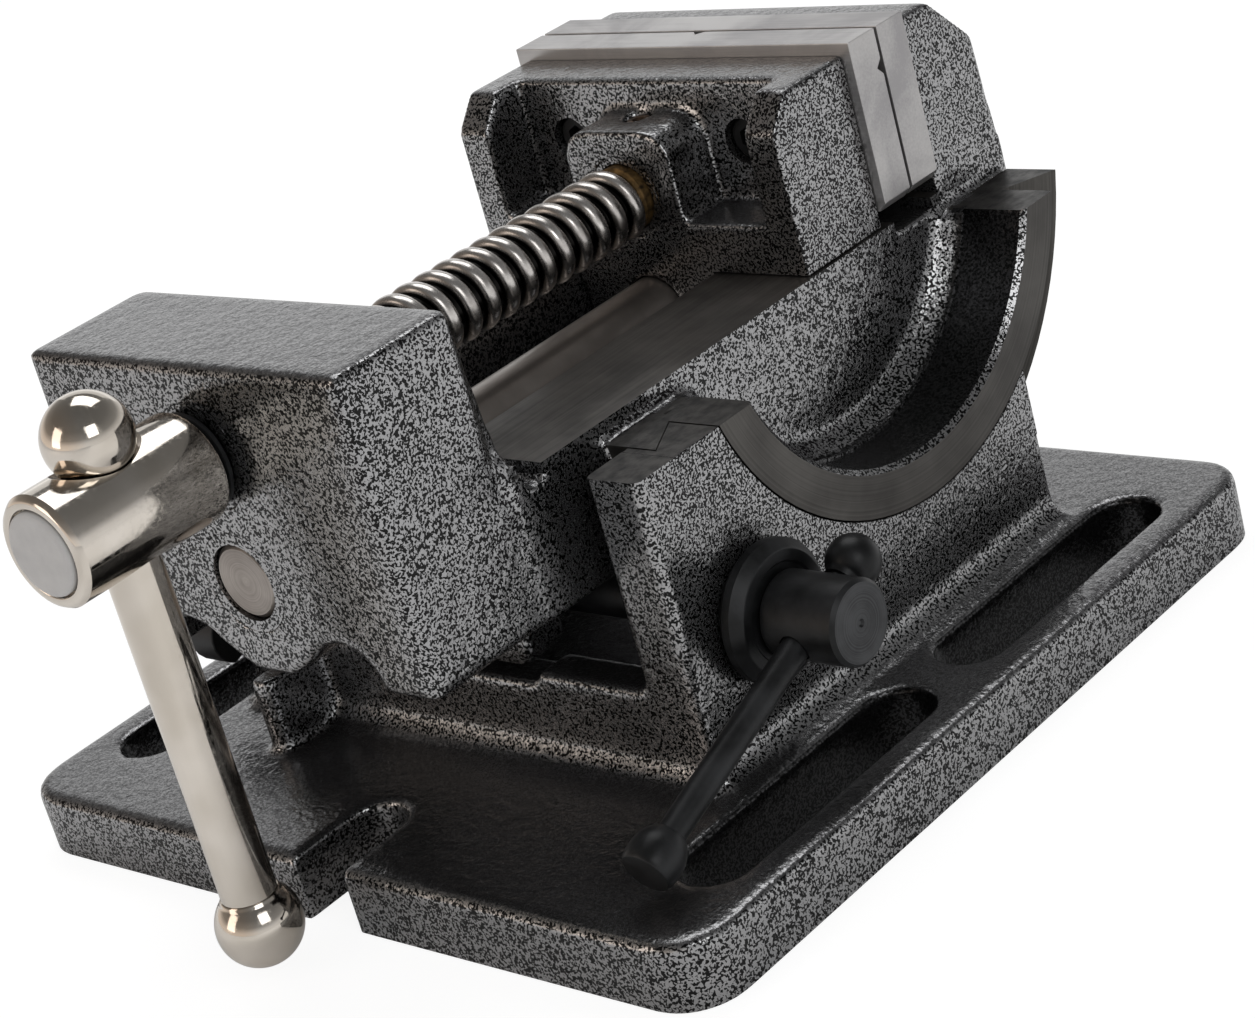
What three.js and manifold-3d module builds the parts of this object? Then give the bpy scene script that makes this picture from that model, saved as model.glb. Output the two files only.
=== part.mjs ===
// Tilting drill press vise, 100 mm jaws.
// Millimetres. +X is the side of the lock lever, +Y runs from the handle to the fixed jaw, +Z is up.
// The origin is the centre of the base's underside.
import * as THREE from "three";
import { mergeVertices } from "three/addons/utils/BufferGeometryUtils.js";
import Module from "manifold-3d";

const wasm = await Module();
wasm.setup();

// Clearances
const seatGap = 0.3;
const runningGap = 0.35;
const cutOverrun = 3;
const weldTolerance = 0.0001;

// Base casting
const baseWidth = 205.6;
const baseLength = 204.6;
const baseThickness = 15;
const baseCornerRadius = 12.5;
const baseEdgeChamfer = 1.8;
const slotWidthShare = 0.511;
const slotPlaceShare = 0.48;
const slotEndInset = 20.8;
const slotRowGap = 11;
const notchWidth = 15;
const notchDepth = 25;

// Cheeks of the base
const cheekOuterSpan = 141;
const cheekThickness = 14;
const cheekFrontY = -52.5;
const cheekRearY = 69.5;
const cheekFilletRadius = 6.5;
const frontWallThickness = 10;
const frontWallHeight = 21;
const frontWallStepDepth = 2.7;
const frontWallStepWidth = 51;
const rearWallThickness = 10;
const rearWallHeight = 8;
const frontRibX = -46;
const frontRibNoseY = -70.2;
const frontRibWidth = 6.6;
const frontRibHeight = 18;

// Tilt axis and the rims that ride in the cheeks
const tiltAxisY = 33;
const tiltAxisZ = 102.5;
const rimRadius = 62.5;
const rimInnerRadius = 52;
const rimChamfer = 1.2;
const rimTopZ = 84;
const tongueRadius = 74;
const tongueTipReach = 7.1;
const tongueRootReach = 0.5;

// Vise body
const bodyWidth = 97;
const wayZ = 88;
const bodyBottomZ = 57;
const bodyRearY = 107.5;
const bodyRearBottomZ = 76;
const bodyRearSlopeRun = 12.5;
const rimWebThickness = 10;
const blockTopWidth = 93;
const blockBottomWidth = 96;
const blockCornerRadius = 3.5;
const blockFrontInset = 5.8;
const blockFootLength = 36;
const blockTopLength = 32;
const blockTopZ = 125.3;
const blockCornerChamfer = 1.5;
const channelWidth = 42;
const channelFloorZ = 69.8;
const rodTroughRadius = 12.5;
const channelRearY = 74;
const frontReliefWidth = 5.6;
const frontReliefDepth = 3.7;
const jawReliefFrontY = 64;
const jawReliefRearY = 78;
const jawReliefDepth = 2.5;
const underLobeTipWidth = 5.5;
const underLegWidth = 15;
const underArchHeight = 9.2;
// Each pair is how far across the arch and how far up it.
const underArchShares = [
  [0, 0], [0.05, 0.07], [0.14, 0.22], [0.3, 0.54], [0.39, 0.8], [0.5, 0.96], [0.63, 1],
  [0.74, 0.96], [0.83, 0.83], [0.9, 0.61], [0.95, 0.33], [0.98, 0.07], [1, 0],
];
const stopLugWidth = 49;
const stopLugFrontY = -51.5;
const stopLugLength = 11.5;
const stopLugBottomZ = 36;
const stopLugCorner = 3;

// Fixed jaw block
const jawBlockTopZ = 128.5;
const jawBlockTopWidth = 95;
const jawBlockTopLength = 11.5;
const jawBlockRearY = 105.6;
const jawBlockShoulderZ = 116;

// Jaw plates, modelled a hair open
const jawWidth = 100;
const plateThickness = 9.55;
const plateTopZ = 130.7;
const plateBottomZ = 91.7;
const jawParting = 0.8;
const jawContactY = 70.9;
const plateVDepth = 1.7;
const levelVZ = 122;

// Plate screws
const plateScrewSpread = 52;
const plateScrewZ = 113.4;
const plateScrewRadius = 3;
const plateScrewHeadRadius = 5;
const plateScrewHeadLength = 6;
const plateScrewBite = 6.5;
const plateScrewSocketRadius = 2.8;
const plateScrewSocketDepth = 3;
const movingWebUnderHead = 4.4;
const fixedWebUnderHead = 10.5;

// Moving jaw casting
const jawCastWidth = 95;
const jawCastTopZ = 127.9;
const jawCastFrontY = 34.2;
const jawCastTopFrontY = 40.8;
const jawCastShoulderZ = 120.5;
const jawWebFrontY = 48;
const jawArmThickness = 9;
const jawSillZ = 99.5;
const bossWidth = 31;
const bossTopZ = 120.8;
const bossCorner = 7;
const wayClearance = 0.3;

// Lead screw
const screwAxisZ = 105.5;
const threadCrestRadius = 8.8;
const threadRootRadius = 6.9;
const threadPitch = 6;
const threadCrestShare = 0.3;
const threadRootShare = 0.34;
const threadRearY = 31.2;
const journalRadius = 6.2;
const journalGrooveRadius = 4.4;
const journalGrooveWidth = 6.8;
const journalHeadLength = 3.4;
const bushOuterRadius = 7.7;
const bushProud = 2.6;
const bushLength = 6.4;
const setScrewRadius = 3;
const setScrewSocketRadius = 1.6;
const setScrewSocketDepth = 2;

// Guide rod
const rodAxisZ = 77.6;
const rodRadius = 8.25;
const rodRearReach = 7.5;

// Handle
const hubRadius = 12;
const hubLength = 37.8;
const hubChamfer = 1.5;
const hubSocketDepth = 11.5;
const capRadius = 8.9;
const capProud = 0.9;
const capDepth = 3;
const capRoundover = 0.6;
const collarRadius = 10.5;
const collarThickness = 1.7;
const collarHubGap = 0.5;
const barRadius = 5.9;
const barSetback = 19.8;
const ballRadius = 9.2;
const upperBallReach = 15.6;
const ballSeatMouthRadius = 10.4;
const lowerBallReach = 93.6;
const barInsertDepth = 6;

// Lock
const lockAxisY = -29;
const lockAxisZ = 44.2;
const lockShankRadius = 6;
const lockHubRadius = 9;
const lockHubLength = 18.9;
const lockHubChamfer = 0.8;
const lockWasherRadius = 15;
const lockWasherFootRadius = 12.6;
const lockWasherThickness = 6.6;
const lockWasherChamfer = 1.2;
const lockBarRadius = 3;
const lockBarSetback = 11.4;
const lockBarDroop = 19;
const upperKnobReach = 15.1;
const lowerKnobReach = 61.2;
const lockKnobRadius = 5.8;
const lockKnobLength = 9.4;
const lockKnobFlatRadius = 5.4;
const lockKnobBulgeShare = 0.55;
const lockKnobInsert = 3.4;
const lockNutThickness = 8.5;
const lockNutHeadRadius = 11.5;
const lockNutToeRadius = 7.5;
const lockNutToeReach = 26;
const lockNutToeDroop = 24;
const quarterTurn = 90;
const lockTailLength = 2.6;

// Facets round a full turn
const roundFacets = 40;
const rimFacets = 96;
const smallFacets = 24;
const threadFacets = 14;

const castFinish = { color: 0x3a3b3d, roughness: 0.55, metalness: 0.35 };
const groundFinish = { color: 0xb9b6b0, roughness: 0.32, metalness: 0.95 };
const turnedFinish = { color: 0x9a9690, roughness: 0.3, metalness: 0.95 };
const nickelFinish = { color: 0xc9c1b6, roughness: 0.12, metalness: 1 };
const blackFinish = { color: 0x242526, roughness: 0.5, metalness: 0.6 };
const bronzeFinish = { color: 0x8a6534, roughness: 0.45, metalness: 0.9 };
const capFinish = { color: 0xa9aaad, roughness: 0.55, metalness: 0 };

// Turns a closed geometry into a solid that can be joined and cut.
function solidOf(geometry) {
  const bare = geometry.clone();
  bare.deleteAttribute("normal");
  bare.deleteAttribute("uv");
  const merged = mergeVertices(bare, weldTolerance);
  const points = merged.attributes.position;
  const index = merged.index.array;
  const faces = [];
  let volume = 0;
  const a = new THREE.Vector3();
  const b = new THREE.Vector3();
  const c = new THREE.Vector3();
  for (let i = 0; i < index.length; i += 3) {
    const [p, q, r] = [index[i], index[i + 1], index[i + 2]];
    if (p === q || q === r || p === r) continue;
    faces.push(p, q, r);
    a.fromBufferAttribute(points, p);
    b.fromBufferAttribute(points, q);
    c.fromBufferAttribute(points, r);
    volume += a.dot(b.cross(c));
  }
  if (volume < 0) faces.reverse();
  return new wasm.Manifold(new wasm.Mesh({
    numProp: 3,
    vertProperties: Float32Array.from(points.array),
    triVerts: Uint32Array.from(faces),
  }));
}

// Makes the named mesh of a finished solid.
function meshOf(name, solid, finish) {
  const data = solid.getMesh();
  const geometry = new THREE.BufferGeometry();
  geometry.setAttribute("position", new THREE.BufferAttribute(data.vertProperties, 3));
  geometry.setIndex(new THREE.BufferAttribute(data.triVerts, 1));
  geometry.computeVertexNormals();
  const material = new THREE.MeshStandardMaterial({ ...finish, flatShading: true });
  const mesh = new THREE.Mesh(geometry, material);
  mesh.name = name;
  return mesh;
}

function box(x0, x1, y0, y1, z0, z1) {
  const geometry = new THREE.BoxGeometry(x1 - x0, y1 - y0, z1 - z0);
  geometry.translate((x0 + x1) / 2, (y0 + y1) / 2, (z0 + z1) / 2);
  return solidOf(geometry);
}

// A cylinder along "x", "y" or "z" from one place to another; the centre is the other two places.
function rod(axis, radius, from, to, u, v, facets = roundFacets) {
  const geometry = new THREE.CylinderGeometry(radius, radius, to - from, facets);
  if (axis === "x") geometry.rotateZ(-Math.PI / 2).translate((from + to) / 2, u, v);
  if (axis === "y") geometry.translate(u, (from + to) / 2, v);
  if (axis === "z") geometry.rotateX(Math.PI / 2).translate(u, v, (from + to) / 2);
  return solidOf(geometry);
}

// A turned solid: each point is a radius and a place along the axis.
function turned(axis, points, u, v, facets = roundFacets) {
  const profile = points.map(([r, along]) => new THREE.Vector2(r, along));
  const geometry = new THREE.LatheGeometry(profile, facets);
  if (axis === "x") geometry.rotateZ(-Math.PI / 2).translate(0, u, v);
  if (axis === "y") geometry.translate(u, 0, v);
  if (axis === "z") geometry.rotateX(Math.PI / 2).translate(u, v, 0);
  return solidOf(geometry);
}

function outline(points) {
  return new THREE.Shape(points.map(([u, v]) => new THREE.Vector2(u, v)));
}

// A prism along X from an outline of (y, z) points.
function prismX(points, x0, x1) {
  const geometry = new THREE.ExtrudeGeometry(outline(points), { depth: x1 - x0, bevelEnabled: false });
  const turn = new THREE.Matrix4().makeBasis(
    new THREE.Vector3(0, 1, 0), new THREE.Vector3(0, 0, 1), new THREE.Vector3(1, 0, 0));
  geometry.applyMatrix4(turn).translate(x0, 0, 0);
  return solidOf(geometry);
}

// A prism along Y from an outline of (x, z) points.
function prismY(points, y0, y1) {
  const geometry = new THREE.ExtrudeGeometry(outline(points), { depth: y1 - y0, bevelEnabled: false });
  geometry.rotateX(Math.PI / 2).translate(0, y1, 0);
  return solidOf(geometry);
}

// A prism along Z from an outline of (x, y) points.
function prismZ(points, z0, z1) {
  const geometry = new THREE.ExtrudeGeometry(outline(points), { depth: z1 - z0, bevelEnabled: false });
  geometry.translate(0, 0, z0);
  return solidOf(geometry);
}

function mirroredX(points) {
  return points.map(([x, other]) => [-x, other]).reverse();
}

function sphere(radius, x, y, z, facets = roundFacets) {
  const geometry = new THREE.SphereGeometry(radius, facets, facets / 2);
  geometry.rotateX(Math.PI / 2).translate(x, y, z);
  return solidOf(geometry);
}

// Points of a quarter arc, from one angle to another in degrees.
function arcPoints(cu, cv, radius, from, to, steps) {
  const points = [];
  for (let i = 0; i <= steps; i += 1) {
    const angle = THREE.MathUtils.degToRad(from + ((to - from) * i) / steps);
    points.push([cu + radius * Math.cos(angle), cv + radius * Math.sin(angle)]);
  }
  return points;
}

function roundedRectangle(width, length, radius) {
  const cornerX = width / 2 - radius;
  const cornerY = length / 2 - radius;
  return [
    ...arcPoints(cornerX, cornerY, radius, 0, 90, 6),
    ...arcPoints(-cornerX, cornerY, radius, 90, 180, 6),
    ...arcPoints(-cornerX, -cornerY, radius, 180, 270, 6),
    ...arcPoints(cornerX, -cornerY, radius, 270, 360, 6),
  ];
}

// An oblong hole with round ends, long along Y.
function oblong(x, y, width, length) {
  const radius = width / 2;
  const reach = length / 2 - radius;
  return [
    ...arcPoints(x, y + reach, radius, 0, 180, 10),
    ...arcPoints(x, y - reach, radius, 180, 360, 10),
  ];
}

// Base casting

const cheekOuterX = cheekOuterSpan / 2;
const cheekInnerX = cheekOuterX - cheekThickness;
const landWidth = baseWidth / 2 - cheekOuterX;
const slotX = cheekOuterX + landWidth * slotPlaceShare;
const slotWidth = landWidth * slotWidthShare;
const slotLength = baseLength / 2 - slotEndInset - slotRowGap / 2;
const slotRowY = (slotLength + slotRowGap) / 2;
const frontWallTopZ = baseThickness + frontWallHeight;
const rearWallTopZ = baseThickness + rearWallHeight;

function basePlate() {
  const shape = outline(roundedRectangle(baseWidth, baseLength, baseCornerRadius));
  const geometry = new THREE.ExtrudeGeometry(shape, {
    depth: baseThickness - baseEdgeChamfer + cutOverrun,
    bevelEnabled: true,
    bevelThickness: baseEdgeChamfer,
    bevelSize: baseEdgeChamfer,
    bevelOffset: -baseEdgeChamfer,
    bevelSegments: 2,
  });
  geometry.translate(0, 0, -cutOverrun);
  const below = box(-baseWidth, baseWidth, -baseLength, baseLength, -baseThickness, 0);
  return solidOf(geometry).subtract(below);
}

function baseSlots() {
  const holes = [];
  for (const side of [-1, 1]) {
    for (const row of [-1, 1]) {
      const points = oblong(side * slotX, row * slotRowY, slotWidth, slotLength);
      holes.push(prismZ(points, -cutOverrun, baseThickness + cutOverrun));
    }
  }
  return holes;
}

// The notch at one end of the base; side is -1 at the front and 1 at the rear.
function baseNotch(side) {
  const edgeY = side * (baseLength / 2 + cutOverrun);
  const innerY = side * (baseLength / 2 - notchDepth + notchWidth / 2);
  const middle = (edgeY + innerY) / 2;
  const length = Math.abs(edgeY - innerY) + notchWidth;
  return prismZ(oblong(0, middle, notchWidth, length), -cutOverrun, baseThickness + cutOverrun);
}

// The hollow fillet at the foot of a wall, as (distance from the wall, height above the plate).
function footFillet(radius) {
  return arcPoints(radius, radius, radius, 180, 270, 5);
}

function cheek(side) {
  const outer = side * cheekOuterX;
  const inner = side * cheekInnerX;
  const slab = box(Math.min(outer, inner), Math.max(outer, inner), cheekFrontY, cheekRearY,
    baseThickness - seatGap, rimTopZ);
  const curve = footFillet(cheekFilletRadius).map(([away, up]) => [
    cheekOuterX + away, baseThickness + up]);
  const foot = [
    [cheekOuterX - seatGap, baseThickness + cheekFilletRadius],
    ...curve,
    [cheekOuterX + cheekFilletRadius, baseThickness - seatGap],
    [cheekOuterX - seatGap, baseThickness - seatGap],
  ];
  const points = side > 0 ? foot : mirroredX(foot);
  return slab.add(prismY(points, cheekFrontY, cheekRearY));
}

function frontWall() {
  const rearY = cheekFrontY + frontWallThickness;
  const wall = box(-cheekInnerX - seatGap, cheekInnerX + seatGap, cheekFrontY, rearY,
    baseThickness - seatGap, frontWallTopZ);
  const step = box(-frontWallStepWidth / 2, frontWallStepWidth / 2, cheekFrontY - cutOverrun,
    rearY + cutOverrun, frontWallTopZ - frontWallStepDepth, frontWallTopZ + cutOverrun);
  const curve = footFillet(cheekFilletRadius).map(([away, up]) => [
    cheekFrontY - away, baseThickness + up]);
  const foot = [
    [cheekFrontY + seatGap, baseThickness + cheekFilletRadius],
    ...curve,
    [cheekFrontY - cheekFilletRadius, baseThickness - seatGap],
    [cheekFrontY + seatGap, baseThickness - seatGap],
  ];
  return wall.subtract(step).add(prismX(foot, -cheekOuterX, cheekOuterX));
}

// A round-nosed rib runs forward from the front wall, on the left.
function frontRib() {
  const radius = frontRibWidth / 2;
  const points = [
    [frontRibX - radius, cheekFrontY + seatGap],
    ...arcPoints(frontRibX, frontRibNoseY + radius, radius, 180, 360, 8),
    [frontRibX + radius, cheekFrontY + seatGap],
  ];
  return prismZ(points, baseThickness - seatGap, baseThickness + frontRibHeight);
}

function rearWall() {
  return box(-cheekInnerX - seatGap, cheekInnerX + seatGap, cheekRearY - rearWallThickness,
    cheekRearY, baseThickness - seatGap, rearWallTopZ);
}

// The rim and its dovetail tongue as one ring section, grown by a gap where it cuts its seat.
function rimSection(gap, innerRadius, innerX, outerX) {
  const rootX = cheekInnerX + tongueRootReach + gap;
  const tipX = cheekInnerX + tongueTipReach + gap;
  return [
    [innerRadius, innerX],
    [tongueRadius + gap, innerX],
    [tongueRadius + gap, tipX],
    [rimRadius + gap, rootX],
    [rimRadius + gap, outerX],
    [innerRadius, outerX],
  ];
}

function seatCut(side) {
  const section = rimSection(runningGap, 0, cheekInnerX - cutOverrun, cheekOuterX + cutOverrun);
  const points = section.map(([r, x]) => [r, side * x]);
  return turned("x", points, tiltAxisY, tiltAxisZ, rimFacets);
}

function lockHole(radius) {
  return rod("x", radius, -cheekOuterX - cutOverrun, cheekOuterX + cutOverrun, lockAxisY, lockAxisZ);
}

function baseCasting() {
  let casting = basePlate().subtract(baseNotch(-1)).subtract(baseNotch(1));
  for (const side of [-1, 1]) casting = casting.add(cheek(side));
  for (const hole of baseSlots()) casting = casting.subtract(hole);
  casting = casting.add(frontWall()).add(frontRib()).add(rearWall());
  for (const side of [-1, 1]) casting = casting.subtract(seatCut(side));
  casting = casting.subtract(lockHole(lockShankRadius + runningGap));
  return meshOf("base_casting", casting, castFinish);
}

// Vise body

const bodySideX = bodyWidth / 2;
const blockFrontY = blockFrontInset - baseLength / 2;
const blockRearFootY = blockFrontY + blockFootLength;
const blockRearTopY = blockFrontY + blockTopLength;
const fixedPlateRearY = jawContactY + jawParting / 2 + plateThickness;
const movingPlateFrontY = jawContactY - jawParting / 2 - plateThickness;
const jawBlockFrontY = fixedPlateRearY + seatGap;

function wayBed() {
  const points = [
    [blockRearFootY - cutOverrun, bodyBottomZ],
    [bodyRearY - bodyRearSlopeRun, bodyBottomZ],
    [bodyRearY, bodyRearBottomZ],
    [bodyRearY, wayZ],
    [blockRearFootY - cutOverrun, wayZ],
  ];
  const bed = prismX(points, -bodySideX, bodySideX);
  const relief = box(-bodyWidth, bodyWidth, blockRearFootY, blockRearFootY + frontReliefWidth,
    wayZ - frontReliefDepth, wayZ + cutOverrun);
  const jawRelief = box(-bodyWidth, bodyWidth, jawReliefFrontY, jawReliefRearY,
    wayZ - jawReliefDepth, wayZ + cutOverrun);
  const channel = box(-channelWidth / 2, channelWidth / 2, blockRearFootY, channelRearY,
    channelFloorZ, wayZ + cutOverrun);
  const trough = rod("y", rodTroughRadius, blockRearFootY, channelRearY, 0, rodAxisZ);
  return bed.subtract(relief).subtract(jawRelief).subtract(channel).subtract(trough);
}

function frontBlock() {
  const points = [
    [blockFrontY, bodyBottomZ],
    [blockRearFootY, bodyBottomZ],
    [blockRearFootY, wayZ],
    [blockRearTopY, blockTopZ],
    [blockFrontY, blockTopZ],
  ];
  const half = blockBottomWidth / 2;
  const topHalf = blockTopWidth / 2;
  const block = prismX(points, -half, half);
  const taper = prismY([
    [half, bodyBottomZ],
    [topHalf, blockTopZ],
    [-topHalf, blockTopZ],
    [-half, bodyBottomZ],
  ], blockFrontY, blockRearFootY);
  const inset = half - blockCornerRadius;
  const frontCornerY = blockFrontY + blockCornerRadius;
  const plan = prismZ([
    ...arcPoints(-inset, frontCornerY, blockCornerRadius, 180, 270, 4),
    ...arcPoints(inset, frontCornerY, blockCornerRadius, 270, 360, 4),
    [half, blockRearFootY],
    [-half, blockRearFootY],
  ], bodyBottomZ, blockTopZ);
  const cornerRoot = topHalf - blockCornerChamfer;
  const corner = [
    [cornerRoot, blockRearFootY + cutOverrun],
    [half + cutOverrun, blockRearFootY + cutOverrun],
    [half + cutOverrun, blockRearTopY - blockCornerChamfer],
    [topHalf, blockRearTopY - blockCornerChamfer],
    [cornerRoot, blockRearTopY],
  ];
  const right = prismZ(corner, wayZ + frontReliefDepth, blockTopZ + cutOverrun);
  const left = prismZ(mirroredX(corner), wayZ + frontReliefDepth, blockTopZ + cutOverrun);
  return block.intersect(taper).intersect(plan).subtract(right).subtract(left);
}

function fixedJawBlock() {
  const points = [
    [jawBlockFrontY, wayZ - seatGap],
    [bodyRearY, wayZ - seatGap],
    [jawBlockRearY, jawBlockShoulderZ],
    [jawBlockFrontY + jawBlockTopLength, jawBlockTopZ],
    [jawBlockFrontY, jawBlockTopZ],
  ];
  const half = bodyWidth / 2;
  const topHalf = jawBlockTopWidth / 2;
  const taper = prismY([
    [half, wayZ - seatGap],
    [topHalf, jawBlockTopZ],
    [-topHalf, jawBlockTopZ],
    [-half, wayZ - seatGap],
  ], jawBlockFrontY, bodyRearY);
  return prismX(points, -half, half).intersect(taper);
}

// The long hollows under the body, between its side legs and the middle lobe.
function underHollow(side) {
  const span = bodySideX - underLegWidth - underLobeTipWidth;
  const arch = underArchShares.map(([across, up]) => [
    underLobeTipWidth + span * across, bodyBottomZ + underArchHeight * up]);
  const points = [
    ...arch.reverse(),
    [underLobeTipWidth, bodyBottomZ - cutOverrun],
    [underLobeTipWidth + span, bodyBottomZ - cutOverrun],
  ];
  const outlinePoints = side > 0 ? points : mirroredX(points);
  return prismY(outlinePoints, blockFrontY - cutOverrun, bodyRearY + cutOverrun);
}

function rimWeb(side) {
  const section = [
    ...rimSection(0, 0, bodySideX - rimWebThickness, cheekOuterX).slice(0, 5),
    [rimInnerRadius + rimChamfer, cheekOuterX],
    [rimInnerRadius, cheekOuterX - rimChamfer],
    [rimInnerRadius, bodySideX],
    [0, bodySideX],
  ];
  const points = section.map(([r, x]) => [r, side * x]);
  const disc = turned("x", points, tiltAxisY, tiltAxisZ, rimFacets);
  const reachX = cheekOuterX + cutOverrun;
  const reach = tongueRadius + cutOverrun;
  const above = box(-reachX, reachX, tiltAxisY - reach, tiltAxisY + reach, rimTopZ, tiltAxisZ + reach);
  return disc.subtract(above);
}

function stopLug() {
  const half = stopLugWidth / 2;
  const points = [
    [half, bodyBottomZ + underArchHeight + seatGap],
    [-half, bodyBottomZ + underArchHeight + seatGap],
    [-half, stopLugBottomZ + stopLugCorner],
    [-half + stopLugCorner, stopLugBottomZ],
    [half - stopLugCorner, stopLugBottomZ],
    [half, stopLugBottomZ + stopLugCorner],
  ];
  const rearY = stopLugFrontY + stopLugLength;
  const trough = rod("y", rodTroughRadius, stopLugFrontY - cutOverrun, rearY + cutOverrun, 0, rodAxisZ);
  return prismY(points, stopLugFrontY, rearY).subtract(trough);
}

function fixedScrewHoles() {
  const headY = jawBlockFrontY + fixedWebUnderHead;
  let holes = null;
  for (const side of [-1, 1]) {
    const x = (side * plateScrewSpread) / 2;
    const shank = rod("y", plateScrewRadius + runningGap, jawBlockFrontY - cutOverrun, headY + seatGap,
      x, plateScrewZ, smallFacets);
    const head = rod("y", plateScrewHeadRadius + runningGap, headY, bodyRearY + cutOverrun,
      x, plateScrewZ, smallFacets);
    const pair = shank.add(head);
    holes = holes ? holes.add(pair) : pair;
  }
  return holes;
}

function viseBody() {
  let body = wayBed().add(frontBlock()).add(fixedJawBlock());
  for (const side of [-1, 1]) body = body.subtract(underHollow(side));
  for (const side of [-1, 1]) body = body.add(rimWeb(side));
  body = body.add(stopLug());
  const screwBore = rod("y", threadCrestRadius + runningGap, blockFrontY - cutOverrun,
    blockRearFootY + cutOverrun, 0, screwAxisZ);
  const rodBoreRadius = rodRadius + seatGap;
  const frontRodBore = rod("y", rodBoreRadius, blockFrontY - cutOverrun, blockRearFootY + cutOverrun,
    0, rodAxisZ);
  const rearRodBore = rod("y", rodBoreRadius, channelRearY - cutOverrun,
    channelRearY + rodRearReach + seatGap, 0, rodAxisZ);
  body = body.subtract(screwBore).subtract(frontRodBore).subtract(rearRodBore);
  body = body.subtract(fixedScrewHoles());
  return meshOf("vise_body", body, castFinish);
}

function guideRod() {
  const solid = rod("y", rodRadius, blockFrontY + seatGap, channelRearY + rodRearReach, 0, rodAxisZ);
  return meshOf("guide_rod", solid, turnedFinish);
}

// Jaw plates and their screws

function screwHolesInPlate(fromY, toY) {
  const left = rod("y", plateScrewRadius + seatGap, fromY, toY, -plateScrewSpread / 2, plateScrewZ,
    smallFacets);
  const right = rod("y", plateScrewRadius + seatGap, fromY, toY, plateScrewSpread / 2, plateScrewZ,
    smallFacets);
  return left.add(right);
}

function fixedJawPlate() {
  const frontY = jawContactY + jawParting / 2;
  const plate = box(-jawWidth / 2, jawWidth / 2, frontY, fixedPlateRearY, plateBottomZ, plateTopZ);
  const holes = screwHolesInPlate(fixedPlateRearY - plateScrewBite - seatGap,
    fixedPlateRearY + cutOverrun);
  return meshOf("fixed_jaw_plate", plate.subtract(holes), groundFinish);
}

function movingJawPlate() {
  const faceY = jawContactY - jawParting / 2;
  const plate = box(-jawWidth / 2, jawWidth / 2, movingPlateFrontY, faceY, plateBottomZ, plateTopZ);
  const uprightV = prismZ([
    [-plateVDepth - cutOverrun, faceY + cutOverrun],
    [0, faceY - plateVDepth],
    [plateVDepth + cutOverrun, faceY + cutOverrun],
  ], plateBottomZ - cutOverrun, plateTopZ + cutOverrun);
  const levelV = prismX([
    [faceY + cutOverrun, levelVZ - plateVDepth - cutOverrun],
    [faceY + cutOverrun, levelVZ + plateVDepth + cutOverrun],
    [faceY - plateVDepth, levelVZ],
  ], -jawWidth, jawWidth);
  const holes = screwHolesInPlate(movingPlateFrontY - cutOverrun,
    movingPlateFrontY + plateScrewBite + seatGap);
  return meshOf("moving_jaw_plate", plate.subtract(uprightV).subtract(levelV).subtract(holes),
    groundFinish);
}

// A socket-head screw along Y; the head seats at seatY and the shank runs to tipY.
function plateScrew(name, x, seatY, tipY) {
  const away = Math.sign(seatY - tipY);
  const headEndY = seatY + away * plateScrewHeadLength;
  const shank = rod("y", plateScrewRadius, Math.min(seatY, tipY), Math.max(seatY, tipY), x,
    plateScrewZ, smallFacets);
  const head = rod("y", plateScrewHeadRadius, Math.min(seatY, headEndY), Math.max(seatY, headEndY),
    x, plateScrewZ, smallFacets);
  const socketFloorY = headEndY - away * plateScrewSocketDepth;
  const socketMouthY = headEndY + away * cutOverrun;
  const socket = rod("y", plateScrewSocketRadius, Math.min(socketFloorY, socketMouthY),
    Math.max(socketFloorY, socketMouthY), x, plateScrewZ, 6);
  return meshOf(name, shank.add(head).subtract(socket), blackFinish);
}

function plateScrews() {
  const fixedSeatY = jawBlockFrontY + fixedWebUnderHead + seatGap;
  const fixedTipY = fixedPlateRearY - plateScrewBite;
  const castRearY = movingPlateFrontY - seatGap;
  const movingSeatY = castRearY - movingWebUnderHead - seatGap;
  const movingTipY = movingPlateFrontY + plateScrewBite;
  const half = plateScrewSpread / 2;
  return [
    plateScrew("fixed_jaw_screw_left", -half, fixedSeatY, fixedTipY),
    plateScrew("fixed_jaw_screw_right", half, fixedSeatY, fixedTipY),
    plateScrew("moving_jaw_screw_left", -half, movingSeatY, movingTipY),
    plateScrew("moving_jaw_screw_right", half, movingSeatY, movingTipY),
  ];
}

// Moving jaw

const jawCastRearY = movingPlateFrontY - seatGap;
const jawCastBottomZ = wayZ + wayClearance;

function jawArms() {
  const points = [
    [jawCastFrontY, jawCastBottomZ],
    [jawCastRearY, jawCastBottomZ],
    [jawCastRearY, jawCastTopZ],
    [jawCastTopFrontY, jawCastTopZ],
    [jawCastFrontY, jawCastShoulderZ],
  ];
  const half = jawCastWidth / 2;
  const whole = prismX(points, -half, half);
  const pocket = box(-half + jawArmThickness, half - jawArmThickness, jawCastFrontY - cutOverrun,
    jawWebFrontY, jawSillZ, jawCastTopZ + cutOverrun);
  return whole.subtract(pocket);
}

function jawBoss() {
  const half = bossWidth / 2;
  const points = [
    [-half, jawSillZ - seatGap],
    [half, jawSillZ - seatGap],
    [half, bossTopZ - bossCorner],
    ...arcPoints(half - bossCorner, bossTopZ - bossCorner, bossCorner, 0, 90, 6).slice(1),
    ...arcPoints(-half + bossCorner, bossTopZ - bossCorner, bossCorner, 90, 180, 6),
  ];
  return prismY(points, jawCastFrontY, jawWebFrontY + seatGap);
}

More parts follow.
